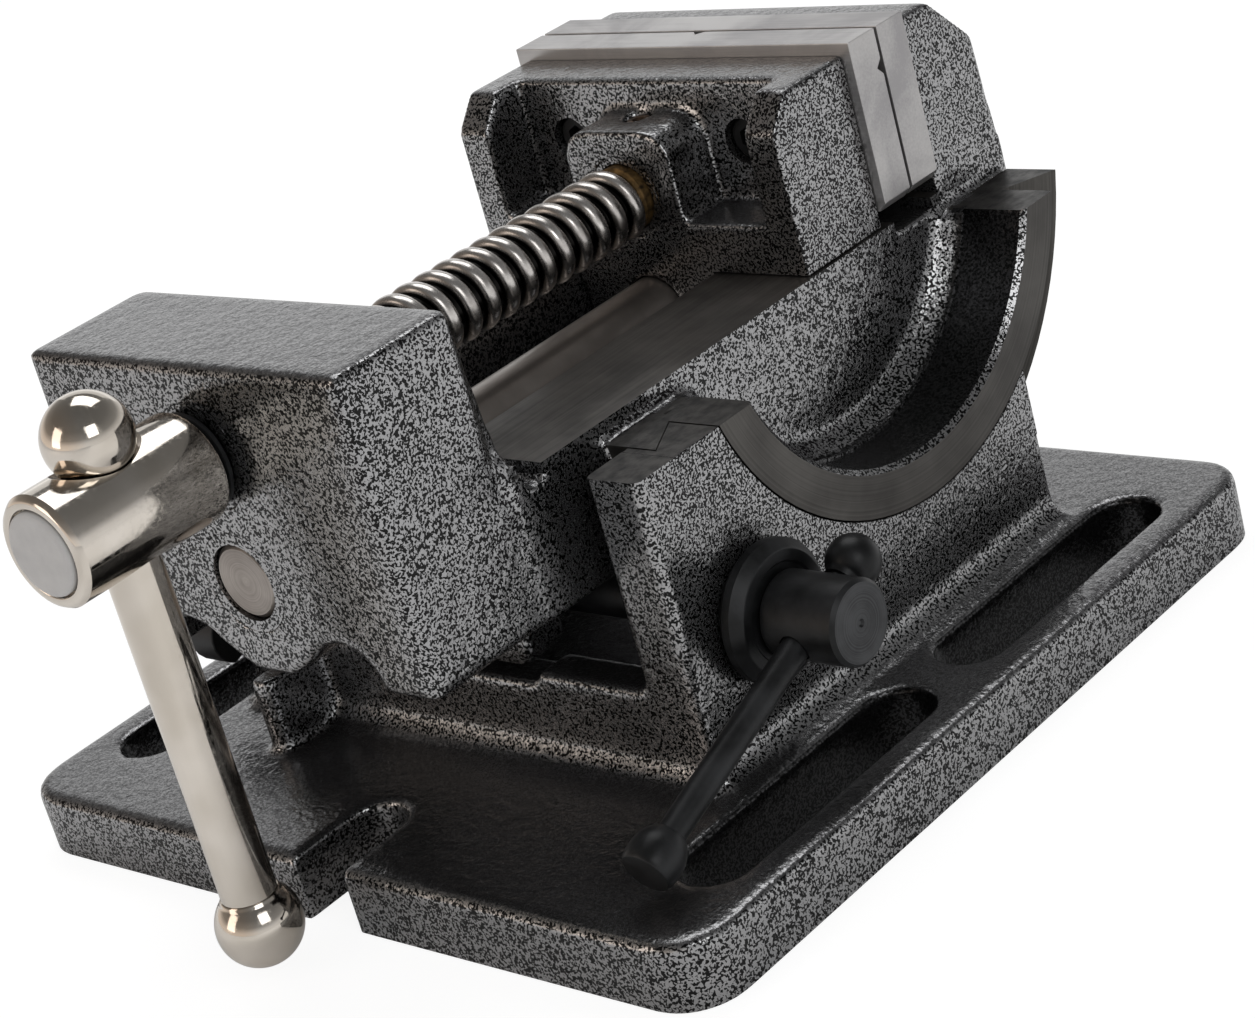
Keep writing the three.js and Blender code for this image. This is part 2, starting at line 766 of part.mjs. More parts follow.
function footLug() {
  const half = channelWidth / 2 - runningGap;
  const bottomZ = channelFloorZ + runningGap;
  const lug = box(-half, half, jawCastFrontY, jawCastRearY, bottomZ, jawCastBottomZ + seatGap);
  return lug.add(rod("y", rodTroughRadius - runningGap, jawCastFrontY, jawCastRearY, 0, rodAxisZ));
}

function movingScrewHoles() {
  const seatY = jawCastRearY - movingWebUnderHead;
  let holes = null;
  for (const side of [-1, 1]) {
    const x = (side * plateScrewSpread) / 2;
    const shank = rod("y", plateScrewRadius + seatGap, seatY - seatGap, jawCastRearY + cutOverrun,
      x, plateScrewZ, smallFacets);
    const head = rod("y", plateScrewHeadRadius + seatGap, jawWebFrontY - cutOverrun, seatY, x,
      plateScrewZ, smallFacets);
    const pair = shank.add(head);
    holes = holes ? holes.add(pair) : pair;
  }
  return holes;
}

const bushRearY = jawCastFrontY + bushLength;
const journalGrooveFrontY = bushRearY + seatGap;
const setScrewY = journalGrooveFrontY + journalGrooveWidth / 2;
const journalEndY = journalGrooveFrontY + journalGrooveWidth + journalHeadLength;

function movingJaw() {
  let jaw = jawArms().add(jawBoss()).add(footLug());
  const bushSeat = rod("y", bushOuterRadius + seatGap, jawCastFrontY - cutOverrun, bushRearY + seatGap,
    0, screwAxisZ);
  const journalBore = rod("y", journalRadius + runningGap, jawCastFrontY, journalEndY + seatGap, 0,
    screwAxisZ, smallFacets);
  const setHole = rod("z", setScrewRadius + seatGap, screwAxisZ, bossTopZ + cutOverrun, 0,
    setScrewY, smallFacets);
  const guideBore = rod("y", rodRadius + runningGap, jawCastFrontY - cutOverrun,
    jawCastRearY + cutOverrun, 0, rodAxisZ);
  jaw = jaw.subtract(bushSeat).subtract(journalBore).subtract(setHole).subtract(guideBore);
  return meshOf("moving_jaw", jaw.subtract(movingScrewHoles()), castFinish);
}

function screwBush() {
  const frontY = jawCastFrontY - bushProud;
  const ring = rod("y", bushOuterRadius, frontY, bushRearY, 0, screwAxisZ);
  const bore = rod("y", journalRadius + runningGap, frontY - cutOverrun, bushRearY + cutOverrun, 0,
    screwAxisZ, smallFacets);
  return meshOf("screw_bush", ring.subtract(bore), bronzeFinish);
}

function screwSetScrew() {
  const bottomZ = screwAxisZ + journalGrooveRadius + seatGap;
  const shank = rod("z", setScrewRadius, bottomZ, bossTopZ - seatGap, 0, setScrewY, smallFacets);
  const socket = rod("z", setScrewSocketRadius, bossTopZ - seatGap - setScrewSocketDepth,
    bossTopZ + cutOverrun, 0, setScrewY, 6);
  return meshOf("screw_set_screw", shank.subtract(socket), bronzeFinish);
}

// Lead screw, with one right-hand thread cut as a rising ridge

function threadGeometry(startY, turns) {
  const crest = threadCrestShare * threadPitch;
  const root = threadRootShare * threadPitch;
  const flank = (threadPitch - crest - root) / 2;
  const stations = [
    [0, threadRootRadius],
    [root, threadRootRadius],
    [root + flank, threadCrestRadius],
    [root + flank + crest, threadCrestRadius],
  ];
  const perTurn = stations.length;
  const columns = threadFacets;
  const rows = turns * perTurn;
  const vertices = [];
  for (let column = 0; column < columns; column += 1) {
    const share = column / columns;
    const angle = 2 * Math.PI * share;
    for (let row = 0; row <= rows + perTurn; row += 1) {
      const [along, radius] = stations[row % perTurn];
      const y = startY + Math.floor(row / perTurn) * threadPitch + along + share * threadPitch;
      vertices.push(radius * Math.sin(angle), y, screwAxisZ + radius * Math.cos(angle));
    }
  }
  const stride = rows + perTurn + 1;
  const at = (column, row) => (column < columns ? column * stride + row : row + perTurn);
  const faces = [];
  for (let column = 0; column < columns; column += 1) {
    for (let row = 0; row < rows; row += 1) {
      const [a, b] = [at(column, row), at(column, row + 1)];
      const [c, d] = [at(column + 1, row), at(column + 1, row + 1)];
      faces.push(a, b, c, c, b, d);
    }
  }
  const hubFront = vertices.length / 3;
  vertices.push(0, startY - threadPitch, screwAxisZ);
  const hubRear = hubFront + 1;
  vertices.push(0, startY + (turns + 2) * threadPitch, screwAxisZ);
  for (let column = 0; column < columns; column += 1) {
    faces.push(hubFront, at(column, 0), at(column + 1, 0));
    faces.push(hubRear, at(column + 1, rows), at(column, rows));
  }
  for (let row = 0; row < perTurn; row += 1) {
    faces.push(hubFront, at(0, row + 1), at(0, row));
    faces.push(hubRear, at(0, rows + row), at(0, rows + row + 1));
  }
  const geometry = new THREE.BufferGeometry();
  geometry.setAttribute("position", new THREE.Float32BufferAttribute(vertices, 3));
  geometry.setIndex(faces);
  return geometry;
}

const threadFrontY = blockFrontY + seatGap;
const collarRearY = blockFrontY - seatGap - jawParting;
const collarFrontY = collarRearY - collarThickness;
const hubRearY = collarFrontY - collarHubGap;
const hubFrontY = hubRearY - hubLength;
const shankFrontY = hubRearY - hubSocketDepth;

function leadScrew() {
  const turns = Math.ceil((threadRearY - threadFrontY) / threadPitch) + 2;
  const ridge = solidOf(threadGeometry(threadFrontY - 2 * threadPitch, turns));
  const length = rod("y", threadCrestRadius + cutOverrun, threadFrontY, threadRearY, 0, screwAxisZ);
  const core = turned("y", [
    [0, shankFrontY],
    [journalRadius, shankFrontY],
    [journalRadius, bushRearY + seatGap],
    [journalGrooveRadius, journalGrooveFrontY],
    [journalGrooveRadius, journalGrooveFrontY + journalGrooveWidth],
    [journalRadius, journalGrooveFrontY + journalGrooveWidth],
    [journalRadius, journalEndY],
    [0, journalEndY],
  ], 0, screwAxisZ, smallFacets);
  return meshOf("lead_screw", ridge.intersect(length).add(core), turnedFinish);
}

function screwCollar() {
  const ring = rod("y", collarRadius, collarFrontY, collarRearY, 0, screwAxisZ);
  const bore = rod("y", journalRadius + seatGap, collarFrontY - cutOverrun, collarRearY + cutOverrun,
    0, screwAxisZ, smallFacets);
  return meshOf("screw_collar", ring.subtract(bore), blackFinish);
}

// Handle

const barY = hubRearY - barSetback;

// The dished mouth of the cross bore, which lets a ball sit down into the hub.
function ballSeat(side) {
  const rootRadius = barRadius + runningGap;
  const drop = Math.sqrt(ballRadius * ballRadius - rootRadius * rootRadius);
  const rootReach = upperBallReach - drop - seatGap;
  const spread = (ballSeatMouthRadius - rootRadius) / (hubRadius - rootReach);
  const topReach = hubRadius + cutOverrun;
  const dish = turned("z", [
    [0, rootReach - seatGap],
    [rootRadius - seatGap, rootReach - seatGap],
    [rootRadius, rootReach],
    [rootRadius + (topReach - rootReach) * spread, topReach],
    [0, topReach],
  ], 0, 0);
  const turnedOver = side > 0 ? dish : dish.rotate([180, 0, 0]);
  return turnedOver.translate([0, barY, screwAxisZ]);
}

function screwHub() {
  const body = turned("y", [
    [0, hubFrontY],
    [hubRadius - hubChamfer, hubFrontY],
    [hubRadius, hubFrontY + hubChamfer],
    [hubRadius, hubRearY - hubChamfer],
    [hubRadius - hubChamfer, hubRearY],
    [0, hubRearY],
  ], 0, screwAxisZ);
  const crossBore = rod("z", barRadius + runningGap, screwAxisZ - 2 * hubRadius,
    screwAxisZ + 2 * hubRadius, 0, barY);
  const shankBore = rod("y", journalRadius + seatGap, shankFrontY - seatGap, hubRearY + cutOverrun,
    0, screwAxisZ, smallFacets);
  const capSeat = rod("y", capRadius + seatGap, hubFrontY - cutOverrun,
    hubFrontY + capDepth - capProud + seatGap, 0, screwAxisZ);
  const cuts = crossBore.add(shankBore).add(capSeat).add(ballSeat(1)).add(ballSeat(-1));
  return meshOf("screw_hub", body.subtract(cuts), nickelFinish);
}

function hubCap() {
  const frontY = hubFrontY - capProud;
  const solid = turned("y", [
    [0, frontY],
    [capRadius - capRoundover, frontY],
    [capRadius, frontY + capRoundover],
    [capRadius, frontY + capDepth],
    [0, frontY + capDepth],
  ], 0, screwAxisZ);
  return meshOf("hub_cap", solid, capFinish);
}

function tommyBar() {
  const top = screwAxisZ + upperBallReach - ballRadius + barInsertDepth;
  const bottom = screwAxisZ - lowerBallReach + ballRadius - barInsertDepth;
  return meshOf("tommy_bar", rod("z", barRadius, bottom, top, 0, barY), nickelFinish);
}

// A ball end; toBar is 1 where the bar enters from above and -1 from below.
function tommyBall(name, reach, toBar) {
  const centreZ = screwAxisZ + reach;
  const floorZ = centreZ + toBar * (ballRadius - barInsertDepth - seatGap);
  const outerZ = centreZ + toBar * (ballRadius + cutOverrun);
  const ball = sphere(ballRadius, 0, barY, centreZ);
  const bore = rod("z", barRadius + seatGap, Math.min(floorZ, outerZ), Math.max(floorZ, outerZ), 0,
    barY);
  return meshOf(name, ball.subtract(bore), nickelFinish);
}

// Lock

const washerOuterX = cheekOuterX + seatGap + lockWasherThickness;
const lockHubInnerX = washerOuterX + seatGap;
const lockHubOuterX = lockHubInnerX + lockHubLength;
const lockBarX = lockHubOuterX - lockBarSetback;
const nutOuterX = cheekOuterX + seatGap + lockNutThickness;

function lockBolt() {
  const body = turned("x", [
    [0, -nutOuterX - lockTailLength],
    [lockShankRadius, -nutOuterX - lockTailLength],
    [lockShankRadius, lockHubInnerX],
    [lockHubRadius, lockHubInnerX],
    [lockHubRadius, lockHubOuterX - lockHubChamfer],
    [lockHubRadius - lockHubChamfer, lockHubOuterX],
    [0, lockHubOuterX],
  ], lockAxisY, lockAxisZ);
  const bore = rod("z", lockBarRadius + runningGap, -2 * lockHubRadius, 2 * lockHubRadius, 0, 0,
    smallFacets);
  return meshOf("lock_bolt", body.subtract(lockPlaced(bore)), blackFinish);
}

// Lays a solid built along Z from the lock's axis over the lock bar, which droops to the front.
function lockPlaced(solid) {
  return solid.rotate([lockBarDroop - 90, 0, 0]).translate([lockBarX, lockAxisY, lockAxisZ]);
}

function lockWasher() {
  const inner = cheekOuterX + seatGap;
  const ring = turned("x", [
    [0, inner],
    [lockWasherFootRadius, inner],
    [lockWasherRadius, inner + lockWasherRadius - lockWasherFootRadius],
    [lockWasherRadius, washerOuterX - lockWasherChamfer],
    [lockWasherRadius - lockWasherChamfer, washerOuterX],
    [0, washerOuterX],
  ], lockAxisY, lockAxisZ);
  const bore = rod("x", lockShankRadius + seatGap, inner - cutOverrun, washerOuterX + cutOverrun,
    lockAxisY, lockAxisZ);
  return meshOf("lock_washer", ring.subtract(bore), blackFinish);
}

// The nut has a long toe that points down and forward, so it can't turn with the bolt.
function lockNut() {
  const droop = THREE.MathUtils.degToRad(lockNutToeDroop);
  const toeY = lockAxisY - lockNutToeReach * Math.cos(droop);
  const toeZ = lockAxisZ - lockNutToeReach * Math.sin(droop);
  const head = arcPoints(lockAxisY, lockAxisZ, lockNutHeadRadius,
    -quarterTurn - lockNutToeDroop, quarterTurn - lockNutToeDroop, 12);
  const toe = arcPoints(toeY, toeZ, lockNutToeRadius, quarterTurn - lockNutToeDroop,
    3 * quarterTurn - lockNutToeDroop, 10);
  const inner = -cheekOuterX - seatGap;
  const plate = prismX([...head, ...toe], -nutOuterX, inner);
  const bore = rod("x", lockShankRadius + runningGap, -nutOuterX - cutOverrun, inner + cutOverrun,
    lockAxisY, lockAxisZ);
  return meshOf("lock_nut", plate.subtract(bore), blackFinish);
}

function lockBar() {
  const top = upperKnobReach - lockKnobRadius + lockKnobInsert;
  const bottom = -lowerKnobReach + lockKnobLength / 2 - lockKnobInsert;
  const bar = rod("z", lockBarRadius, bottom, top, 0, 0, smallFacets);
  return meshOf("lock_bar", lockPlaced(bar), blackFinish);
}

function lockKnobUpper() {
  const ball = sphere(lockKnobRadius, 0, 0, upperKnobReach, smallFacets);
  const bore = rod("z", lockBarRadius + seatGap, 0,
    upperKnobReach - lockKnobRadius + lockKnobInsert + seatGap, 0, 0, smallFacets);
  return meshOf("lock_knob_upper", lockPlaced(ball.subtract(bore)), blackFinish);
}

function lockKnobLower() {
  const half = lockKnobLength / 2;
  const knob = turned("z", [
    [0, lowerKnobReach - half],
    [lockBarRadius + lockHubChamfer, lowerKnobReach - half],
    [lockKnobFlatRadius, lowerKnobReach - half + lockKnobLength * (1 - lockKnobBulgeShare) / 2],
    [lockKnobRadius, lowerKnobReach - half + lockKnobLength * lockKnobBulgeShare],
    [lockKnobRadius, lowerKnobReach + half - lockHubChamfer],
    [lockKnobFlatRadius, lowerKnobReach + half],
    [0, lowerKnobReach + half],
  ], 0, 0, smallFacets).rotate([180, 0, 0]);
  const bore = rod("z", lockBarRadius + seatGap, -lowerKnobReach + half - lockKnobInsert - seatGap,
    0, 0, 0, smallFacets);
  return meshOf("lock_knob_lower", lockPlaced(knob.subtract(bore)), blackFinish);
}

const vise = new THREE.Group();
vise.name = "tilting_drill_press_vise";
vise.add(
  baseCasting(),
  viseBody(),
  guideRod(),
  fixedJawPlate(),
  movingJaw(),
  movingJawPlate(),
  ...plateScrews(),
  screwBush(),
  screwSetScrew(),
  leadScrew(),
  screwCollar(),
  screwHub(),
  hubCap(),
  tommyBar(),
  tommyBall("tommy_ball_upper", upperBallReach, -1),
  tommyBall("tommy_ball_lower", -lowerBallReach, 1),
  lockBolt(),
  lockWasher(),
  lockNut(),
  lockBar(),
  lockKnobUpper(),
  lockKnobLower(),
);

export default vise;
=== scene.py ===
import math

import bmesh
import bpy
from mathutils import Matrix, Vector


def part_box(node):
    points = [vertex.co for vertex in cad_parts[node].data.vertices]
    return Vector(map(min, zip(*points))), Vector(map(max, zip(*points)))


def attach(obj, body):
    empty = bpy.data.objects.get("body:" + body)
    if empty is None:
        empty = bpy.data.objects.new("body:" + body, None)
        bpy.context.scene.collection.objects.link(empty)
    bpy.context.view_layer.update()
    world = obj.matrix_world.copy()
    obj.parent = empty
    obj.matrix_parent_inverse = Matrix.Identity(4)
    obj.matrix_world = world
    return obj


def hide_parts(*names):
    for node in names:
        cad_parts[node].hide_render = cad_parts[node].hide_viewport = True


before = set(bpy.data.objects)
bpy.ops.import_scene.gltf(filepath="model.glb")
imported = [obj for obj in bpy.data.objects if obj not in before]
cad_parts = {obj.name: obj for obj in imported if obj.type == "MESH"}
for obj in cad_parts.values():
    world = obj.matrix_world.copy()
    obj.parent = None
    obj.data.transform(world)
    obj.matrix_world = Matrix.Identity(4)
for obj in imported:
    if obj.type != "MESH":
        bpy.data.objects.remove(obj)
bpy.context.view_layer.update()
mm = 0.001
print("frame loaded:", len(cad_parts), "nodes")


# Places that several pieces share, in mm

tiltAxis = (0, 33, 102.5)
screwAxis = (0, 0, 105.5)
rodAxis = (0, 0, 77.6)
lockAxis = (0, -29, 44.2)
wayZ = 88
cheekTopZ = 84
rimOuterX = 70.5
fixedBlockY = 81.15
jawRearY = 60.65
jawFootZ = 88.3
plateScrewX = 26
plateScrewZ = 113.4


# Small helpers

def deselectAll():
    if bpy.context.object and bpy.context.object.mode != "OBJECT":
        bpy.ops.object.mode_set(mode="OBJECT")
    bpy.ops.object.select_all(action="DESELECT")


def makeActive(obj):
    deselectAll()
    obj.select_set(True)
    bpy.context.view_layer.objects.active = obj


def editMesh(obj, kind="FACE"):
    makeActive(obj)
    bpy.ops.object.mode_set(mode="EDIT")
    bpy.ops.mesh.select_mode(type=kind)
    bpy.ops.mesh.select_all(action="SELECT")


def objectMode():
    bpy.ops.object.mode_set(mode="OBJECT")


def applyPlace(obj):
    makeActive(obj)
    bpy.ops.object.transform_apply(location=True, rotation=True, scale=True)


def applyModifiers(obj):
    makeActive(obj)
    for modifier in list(obj.modifiers):
        bpy.ops.object.modifier_apply(modifier=modifier.name)


def roundEdges(obj, width, segments=2, angle=35):  # softens every edge sharper than the angle
    bevel = obj.modifiers.new("edgeRound", "BEVEL")
    bevel.width = width * mm
    bevel.segments = segments
    bevel.limit_method = "ANGLE"
    bevel.angle_limit = math.radians(angle)
    bevel.use_clamp_overlap = True
    applyModifiers(obj)


def combine(obj, other, operation):
    boolean = obj.modifiers.new("combine", "BOOLEAN")
    boolean.operation = operation
    boolean.solver = "EXACT"
    boolean.object = other
    applyModifiers(obj)
    bpy.data.objects.remove(other)


def cutAway(obj, cutter):  # takes the cutter's shape out of the piece
    applyPlace(cutter)
    combine(obj, cutter, "DIFFERENCE")


def finishPiece(obj, body, node, material=None, smooth=32):  # without a material it comes dressed
    applyPlace(obj)
    bpy.ops.object.shade_smooth_by_angle(angle=math.radians(smooth))
    if material:
        obj.data.materials.clear()
        obj.data.materials.append(material)
    weighted = obj.modifiers.new("flatFaces", "WEIGHTED_NORMAL")
    weighted.keep_sharp = True
    applyModifiers(obj)
    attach(obj, body)
    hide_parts(node)
    deselectAll()


axisWay = {"x": Vector((1, 0, 0)), "y": Vector((0, 1, 0)), "z": Vector((0, 0, 1))}
axisTurn = {"x": (0, math.pi / 2, 0), "y": (-math.pi / 2, 0, 0), "z": (0, 0, 0)}


def turnOnLathe(name, axis, rings, centre=(0, 0, 0), sides=72):
    # A disc is pulled along its axis ring by ring; each ring is a radius and a place, in mm.
    way = axisWay[axis]
    middle = Vector(centre) * mm
    radius, along = rings[0]
    bpy.ops.mesh.primitive_circle_add(
        vertices=sides, radius=radius * mm, fill_type="NGON",
        location=middle + way * along * mm, rotation=axisTurn[axis])
    obj = bpy.context.object
    obj.name = name
    applyPlace(obj)
    editMesh(obj)
    for nextRadius, nextAlong in rings[1:]:
        step = way * (nextAlong - along) * mm
        bpy.ops.mesh.extrude_region_move(TRANSFORM_OT_translate={"value": step})
        if nextRadius != radius:
            share = nextRadius / radius
            bpy.ops.transform.resize(
                value=(share, share, share), center_override=middle + way * nextAlong * mm)
        radius, along = nextRadius, nextAlong
    bpy.ops.mesh.select_all(action="SELECT")
    bpy.ops.mesh.normals_make_consistent(inside=False)
    objectMode()
    return obj


def nodeReach(node, way):  # where a CAD node begins and ends along one way, in mm
    low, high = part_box(node)
    index = "xyz".index(way)
    return low[index] / mm, high[index] / mm


def ballRings(radius, centre, fromDegrees, toDegrees, steps):  # degrees from the far pole
    rings = []
    for i in range(steps + 1):
        angle = math.radians(fromDegrees + (toDegrees - fromDegrees) * i / steps)
        rings.append((radius * math.sin(angle), centre - radius * math.cos(angle)))
    return rings


# Materials

def linearColour(hexCode):
    values = [int(hexCode[i:i + 2], 16) / 255 for i in (1, 3, 5)]
    return [v / 12.92 if v <= 0.04045 else ((v + 0.055) / 1.055) ** 2.4 for v in values] + [1]


def addNode(tree, kind, settings=None, links=None):
    node = tree.nodes.new(kind)
    for key, value in (settings or {}).items():
        if isinstance(key, str) and hasattr(node, key):
            setattr(node, key, value)
        else:
            node.inputs[key].default_value = value
    for key, source in (links or {}).items():
        tree.links.new(source, node.inputs[key])
    return node


def newMaterial(name):
    material = bpy.data.materials.new(name)
    material.use_nodes = True
    tree = material.node_tree
    tree.nodes.clear()
    shader = addNode(tree, "ShaderNodeBsdfPrincipled")
    out = addNode(tree, "ShaderNodeOutputMaterial", links={"Surface": shader.outputs[0]})
    out.is_active_output = True
    place = addNode(tree, "ShaderNodeTexCoord").outputs["Object"]
    return material, tree, shader, place


def ramp(tree, factor, stops):  # stops are a place and a hex colour or a grey value
    node = addNode(tree, "ShaderNodeValToRGB", links={"Fac": factor})
    elements = node.color_ramp.elements
    while len(elements) < len(stops):
        elements.new(0.5)
    for element, (place, value) in zip(elements, stops):
        element.position = place
        element.color = linearColour(value) if isinstance(value, str) else (value, value, value, 1)
    return node.outputs["Color"]


def perMm(size):  # texture scale of a pattern that repeats each so many mm
    return 1 / (size * mm)


def hammeredEnamel(name, film, comma="#050505", commaMetal=0.05, leatherDepthMm=0.28):
    # Cast iron under hammertone enamel: bright flakes lie flat in a grey film that mirrors softly,
    # broken by small glossy black commas, over a skin that is pebbled like leather.
    look = {"comma": comma, "film": film, "commaMm": 0.56, "leatherMm": 3.0,
            "pebbleMm": 0.9, "patchMm": 30}
    material, tree, shader, place = newMaterial(name)
    commas = addNode(tree, "ShaderNodeTexNoise", {
        "Scale": perMm(look["commaMm"]), "Detail": 0.6, "Roughness": 0.4, "Distortion": 0.6},
        {"Vector": place}).outputs["Fac"]
    patches = addNode(tree, "ShaderNodeTexNoise", {
        "Scale": perMm(look["patchMm"]), "Detail": 2.0, "Roughness": 0.5},
        {"Vector": place}).outputs["Fac"]
    lean = addNode(tree, "ShaderNodeMath", {"operation": "MULTIPLY_ADD", 1: 0.14, 2: -0.07},
                   {0: patches}).outputs[0]
    shifted = addNode(tree, "ShaderNodeMath", {"operation": "ADD"},
                      {0: commas, 1: lean}).outputs[0]
    colour = ramp(tree, shifted, [(0.475, look["comma"]), (0.52, look["film"])])
    tree.links.new(colour, shader.inputs["Base Color"])
    flakes = ramp(tree, shifted, [(0.475, commaMetal), (0.515, 0.96)])
    tree.links.new(flakes, shader.inputs["Metallic"])
    gloss = ramp(tree, shifted, [(0.45, 0.22), (0.54, 0.26)])
    tree.links.new(gloss, shader.inputs["Roughness"])
    leather = addNode(tree, "ShaderNodeTexNoise", {
        "Scale": perMm(look["leatherMm"]), "Detail": 2.0, "Roughness": 0.5, "Distortion": 0.4},
        {"Vector": place}).outputs["Fac"]
    pebbles = addNode(tree, "ShaderNodeTexNoise", {
        "Scale": perMm(look["pebbleMm"]), "Detail": 1.0, "Roughness": 0.5},
        {"Vector": place}).outputs["Fac"]
    height = addNode(tree, "ShaderNodeMath", {"operation": "MULTIPLY_ADD", 1: 0.3},
                     {0: pebbles, 2: leather}).outputs[0]
    bump = addNode(tree, "ShaderNodeBump", {"Strength": 0.6, "Distance": leatherDepthMm * mm},
                   {"Height": height}).outputs[0]
    tree.links.new(bump, shader.inputs["Normal"])
    shader.inputs["Specular IOR Level"].default_value = 0.2
    return material


def streakedIron(name, look):
    # Bare machined cast iron: the cutter leaves fine lines one way, and handling leaves grey
    # clouds.
    material, tree, shader, place = newMaterial(name)
    mapped = addNode(tree, "ShaderNodeMapping", {"Scale": look["stretch"]},
                     {"Vector": place}).outputs[0]
    lines = addNode(tree, "ShaderNodeTexNoise", {
        "Scale": perMm(look["lineMm"]), "Detail": 3.0, "Roughness": 0.6},
        {"Vector": mapped}).outputs["Fac"]
    clouds = addNode(tree, "ShaderNodeTexNoise", {
        "Scale": perMm(look["cloudMm"]), "Detail": 3.0, "Roughness": 0.55},
        {"Vector": place}).outputs["Fac"]
    mixed = addNode(tree, "ShaderNodeMath", {"operation": "MULTIPLY_ADD", 1: look["lineShare"]},
                    {0: lines, 2: clouds}).outputs[0]
    middle = 0.5 + look["lineShare"] / 2
    colour = ramp(tree, mixed, [(middle - 0.16, look["dark"]), (middle + 0.16, look["light"])])
    tree.links.new(colour, shader.inputs["Base Color"])
    rough = ramp(tree, mixed, [(middle - 0.2, look["roughness"] + 0.07),
                               (middle + 0.2, look["roughness"] - 0.05)])
    tree.links.new(rough, shader.inputs["Roughness"])
    bump = addNode(tree, "ShaderNodeBump", {"Strength": 0.5, "Distance": look["depthMm"] * mm},
                   {"Height": mixed}).outputs[0]
    tree.links.new(bump, shader.inputs["Normal"])
    shader.inputs["Metallic"].default_value = look["metallic"]
    return material


def ringedMetal(name, look):
    # Turned or bored metal: the tool leaves fine rings round the axis that it was turned on.
    material, tree, shader, place = newMaterial(name)
    flat = [0 if way == look["axis"] else 1 for way in "XYZ"]
    across = addNode(tree, "ShaderNodeMapping", {
        "Location": [-c * mm * f for c, f in zip(look["centre"], flat)], "Scale": flat},
        {"Vector": place}).outputs[0]
    reach = addNode(tree, "ShaderNodeVectorMath", {"operation": "LENGTH"},
                    {0: across}).outputs["Value"]
    rings = addNode(tree, "ShaderNodeTexNoise", {
        "noise_dimensions": "1D", "Scale": perMm(look["ringMm"]), "Detail": 3.0, "Roughness": 0.7},
        {"W": reach}).outputs["Fac"]
    clouds = addNode(tree, "ShaderNodeTexNoise", {
        "Scale": perMm(look["cloudMm"]), "Detail": 4.0, "Roughness": 0.6},
        {"Vector": place}).outputs["Fac"]
    mixed = addNode(tree, "ShaderNodeMath", {"operation": "MULTIPLY_ADD", 1: look["ringShare"]},
                    {0: rings, 2: clouds}).outputs[0]
    middle = 0.5 + look["ringShare"] / 2
    colour = ramp(tree, mixed, [(middle - 0.2, look["dark"]), (middle + 0.2, look["light"])])
    if "crestMm" in look:  # a thread's roots are painted near black as painted shade in its grooves; its crests keep the metal's colour
        low, high = look["crestMm"]
        outOfRootShade = addNode(tree, "ShaderNodeMapRange", {1: low * mm, 2: high * mm},
                       {0: reach}).outputs[0]
        colour = addNode(tree, "ShaderNodeMix", {
            "data_type": "RGBA", 6: linearColour(look["root"])}, {0: outOfRootShade, 7: colour}).outputs[2]
    tree.links.new(colour, shader.inputs["Base Color"])
    rough = ramp(tree, mixed, [(middle - 0.25, look["roughness"] + 0.07),
                               (middle + 0.25, look["roughness"] - 0.05)])
    tree.links.new(rough, shader.inputs["Roughness"])
    bump = addNode(tree, "ShaderNodeBump", {"Strength": 0.35, "Distance": look["ringDepthMm"] * mm},
                   {"Height": rings}).outputs[0]
    tree.links.new(bump, shader.inputs["Normal"])
    shader.inputs["Metallic"].default_value = look["metallic"]
    return material


def nickelPlate():
    # Bright nickel on polished steel: a warm grey mirror with a light orange peel and small
    # frosted spots.
    look = {"metal": "#d9d2c9", "tint": "#c6beb3", "peelMm": 3.5, "spotMm": 1.1, "cloudMm": 16}
    material, tree, shader, place = newMaterial("brightNickelPlate")
    peel = addNode(tree, "ShaderNodeTexNoise", {
        "Scale": perMm(look["peelMm"]), "Detail": 1.0}, {"Vector": place}).outputs["Fac"]
    spots = addNode(tree, "ShaderNodeTexNoise", {
        "Scale": perMm(look["spotMm"]), "Detail": 4.0, "Roughness": 0.65},
        {"Vector": place}).outputs["Fac"]
    clouds = addNode(tree, "ShaderNodeTexNoise", {
        "Scale": perMm(look["cloudMm"]), "Detail": 2.0}, {"Vector": place}).outputs["Fac"]
    colour = ramp(tree, clouds, [(0.35, look["tint"]), (0.65, look["metal"])])
    tree.links.new(colour, shader.inputs["Base Color"])
    rough = ramp(tree, spots, [(0.45, 0.07), (0.66, 0.2)])
    tree.links.new(rough, shader.inputs["Roughness"])
    bump = addNode(tree, "ShaderNodeBump", {"Strength": 0.12, "Distance": 0.05 * mm},
                   {"Height": peel}).outputs[0]
    tree.links.new(bump, shader.inputs["Normal"])
    shader.inputs["Metallic"].default_value = 1
    return material


def blackOxide():
    # Black oxide on turned steel: a soft matt black that goes grey where light grazes it.
    look = {"deep": "#141516", "worn": "#2d2e30", "grainMm": 0.5, "patchMm": 9}
    material, tree, shader, place = newMaterial("blackOxideSteel")
    patches = addNode(tree, "ShaderNodeTexNoise", {
        "Scale": perMm(look["patchMm"]), "Detail": 5.0, "Roughness": 0.6},
        {"Vector": place}).outputs["Fac"]
    grain = addNode(tree, "ShaderNodeTexNoise", {
        "Scale": perMm(look["grainMm"]), "Detail": 2.0}, {"Vector": place}).outputs["Fac"]
    colour = ramp(tree, patches, [(0.35, look["deep"]), (0.7, look["worn"])])
    tree.links.new(colour, shader.inputs["Base Color"])
    rough = ramp(tree, patches, [(0.3, 0.36), (0.7, 0.5)])
    tree.links.new(rough, shader.inputs["Roughness"])
    bump = addNode(tree, "ShaderNodeBump", {"Strength": 0.25, "Distance": 0.03 * mm},
                   {"Height": grain}).outputs[0]
    tree.links.new(bump, shader.inputs["Normal"])
    shader.inputs["Metallic"].default_value = 0.55
    return material


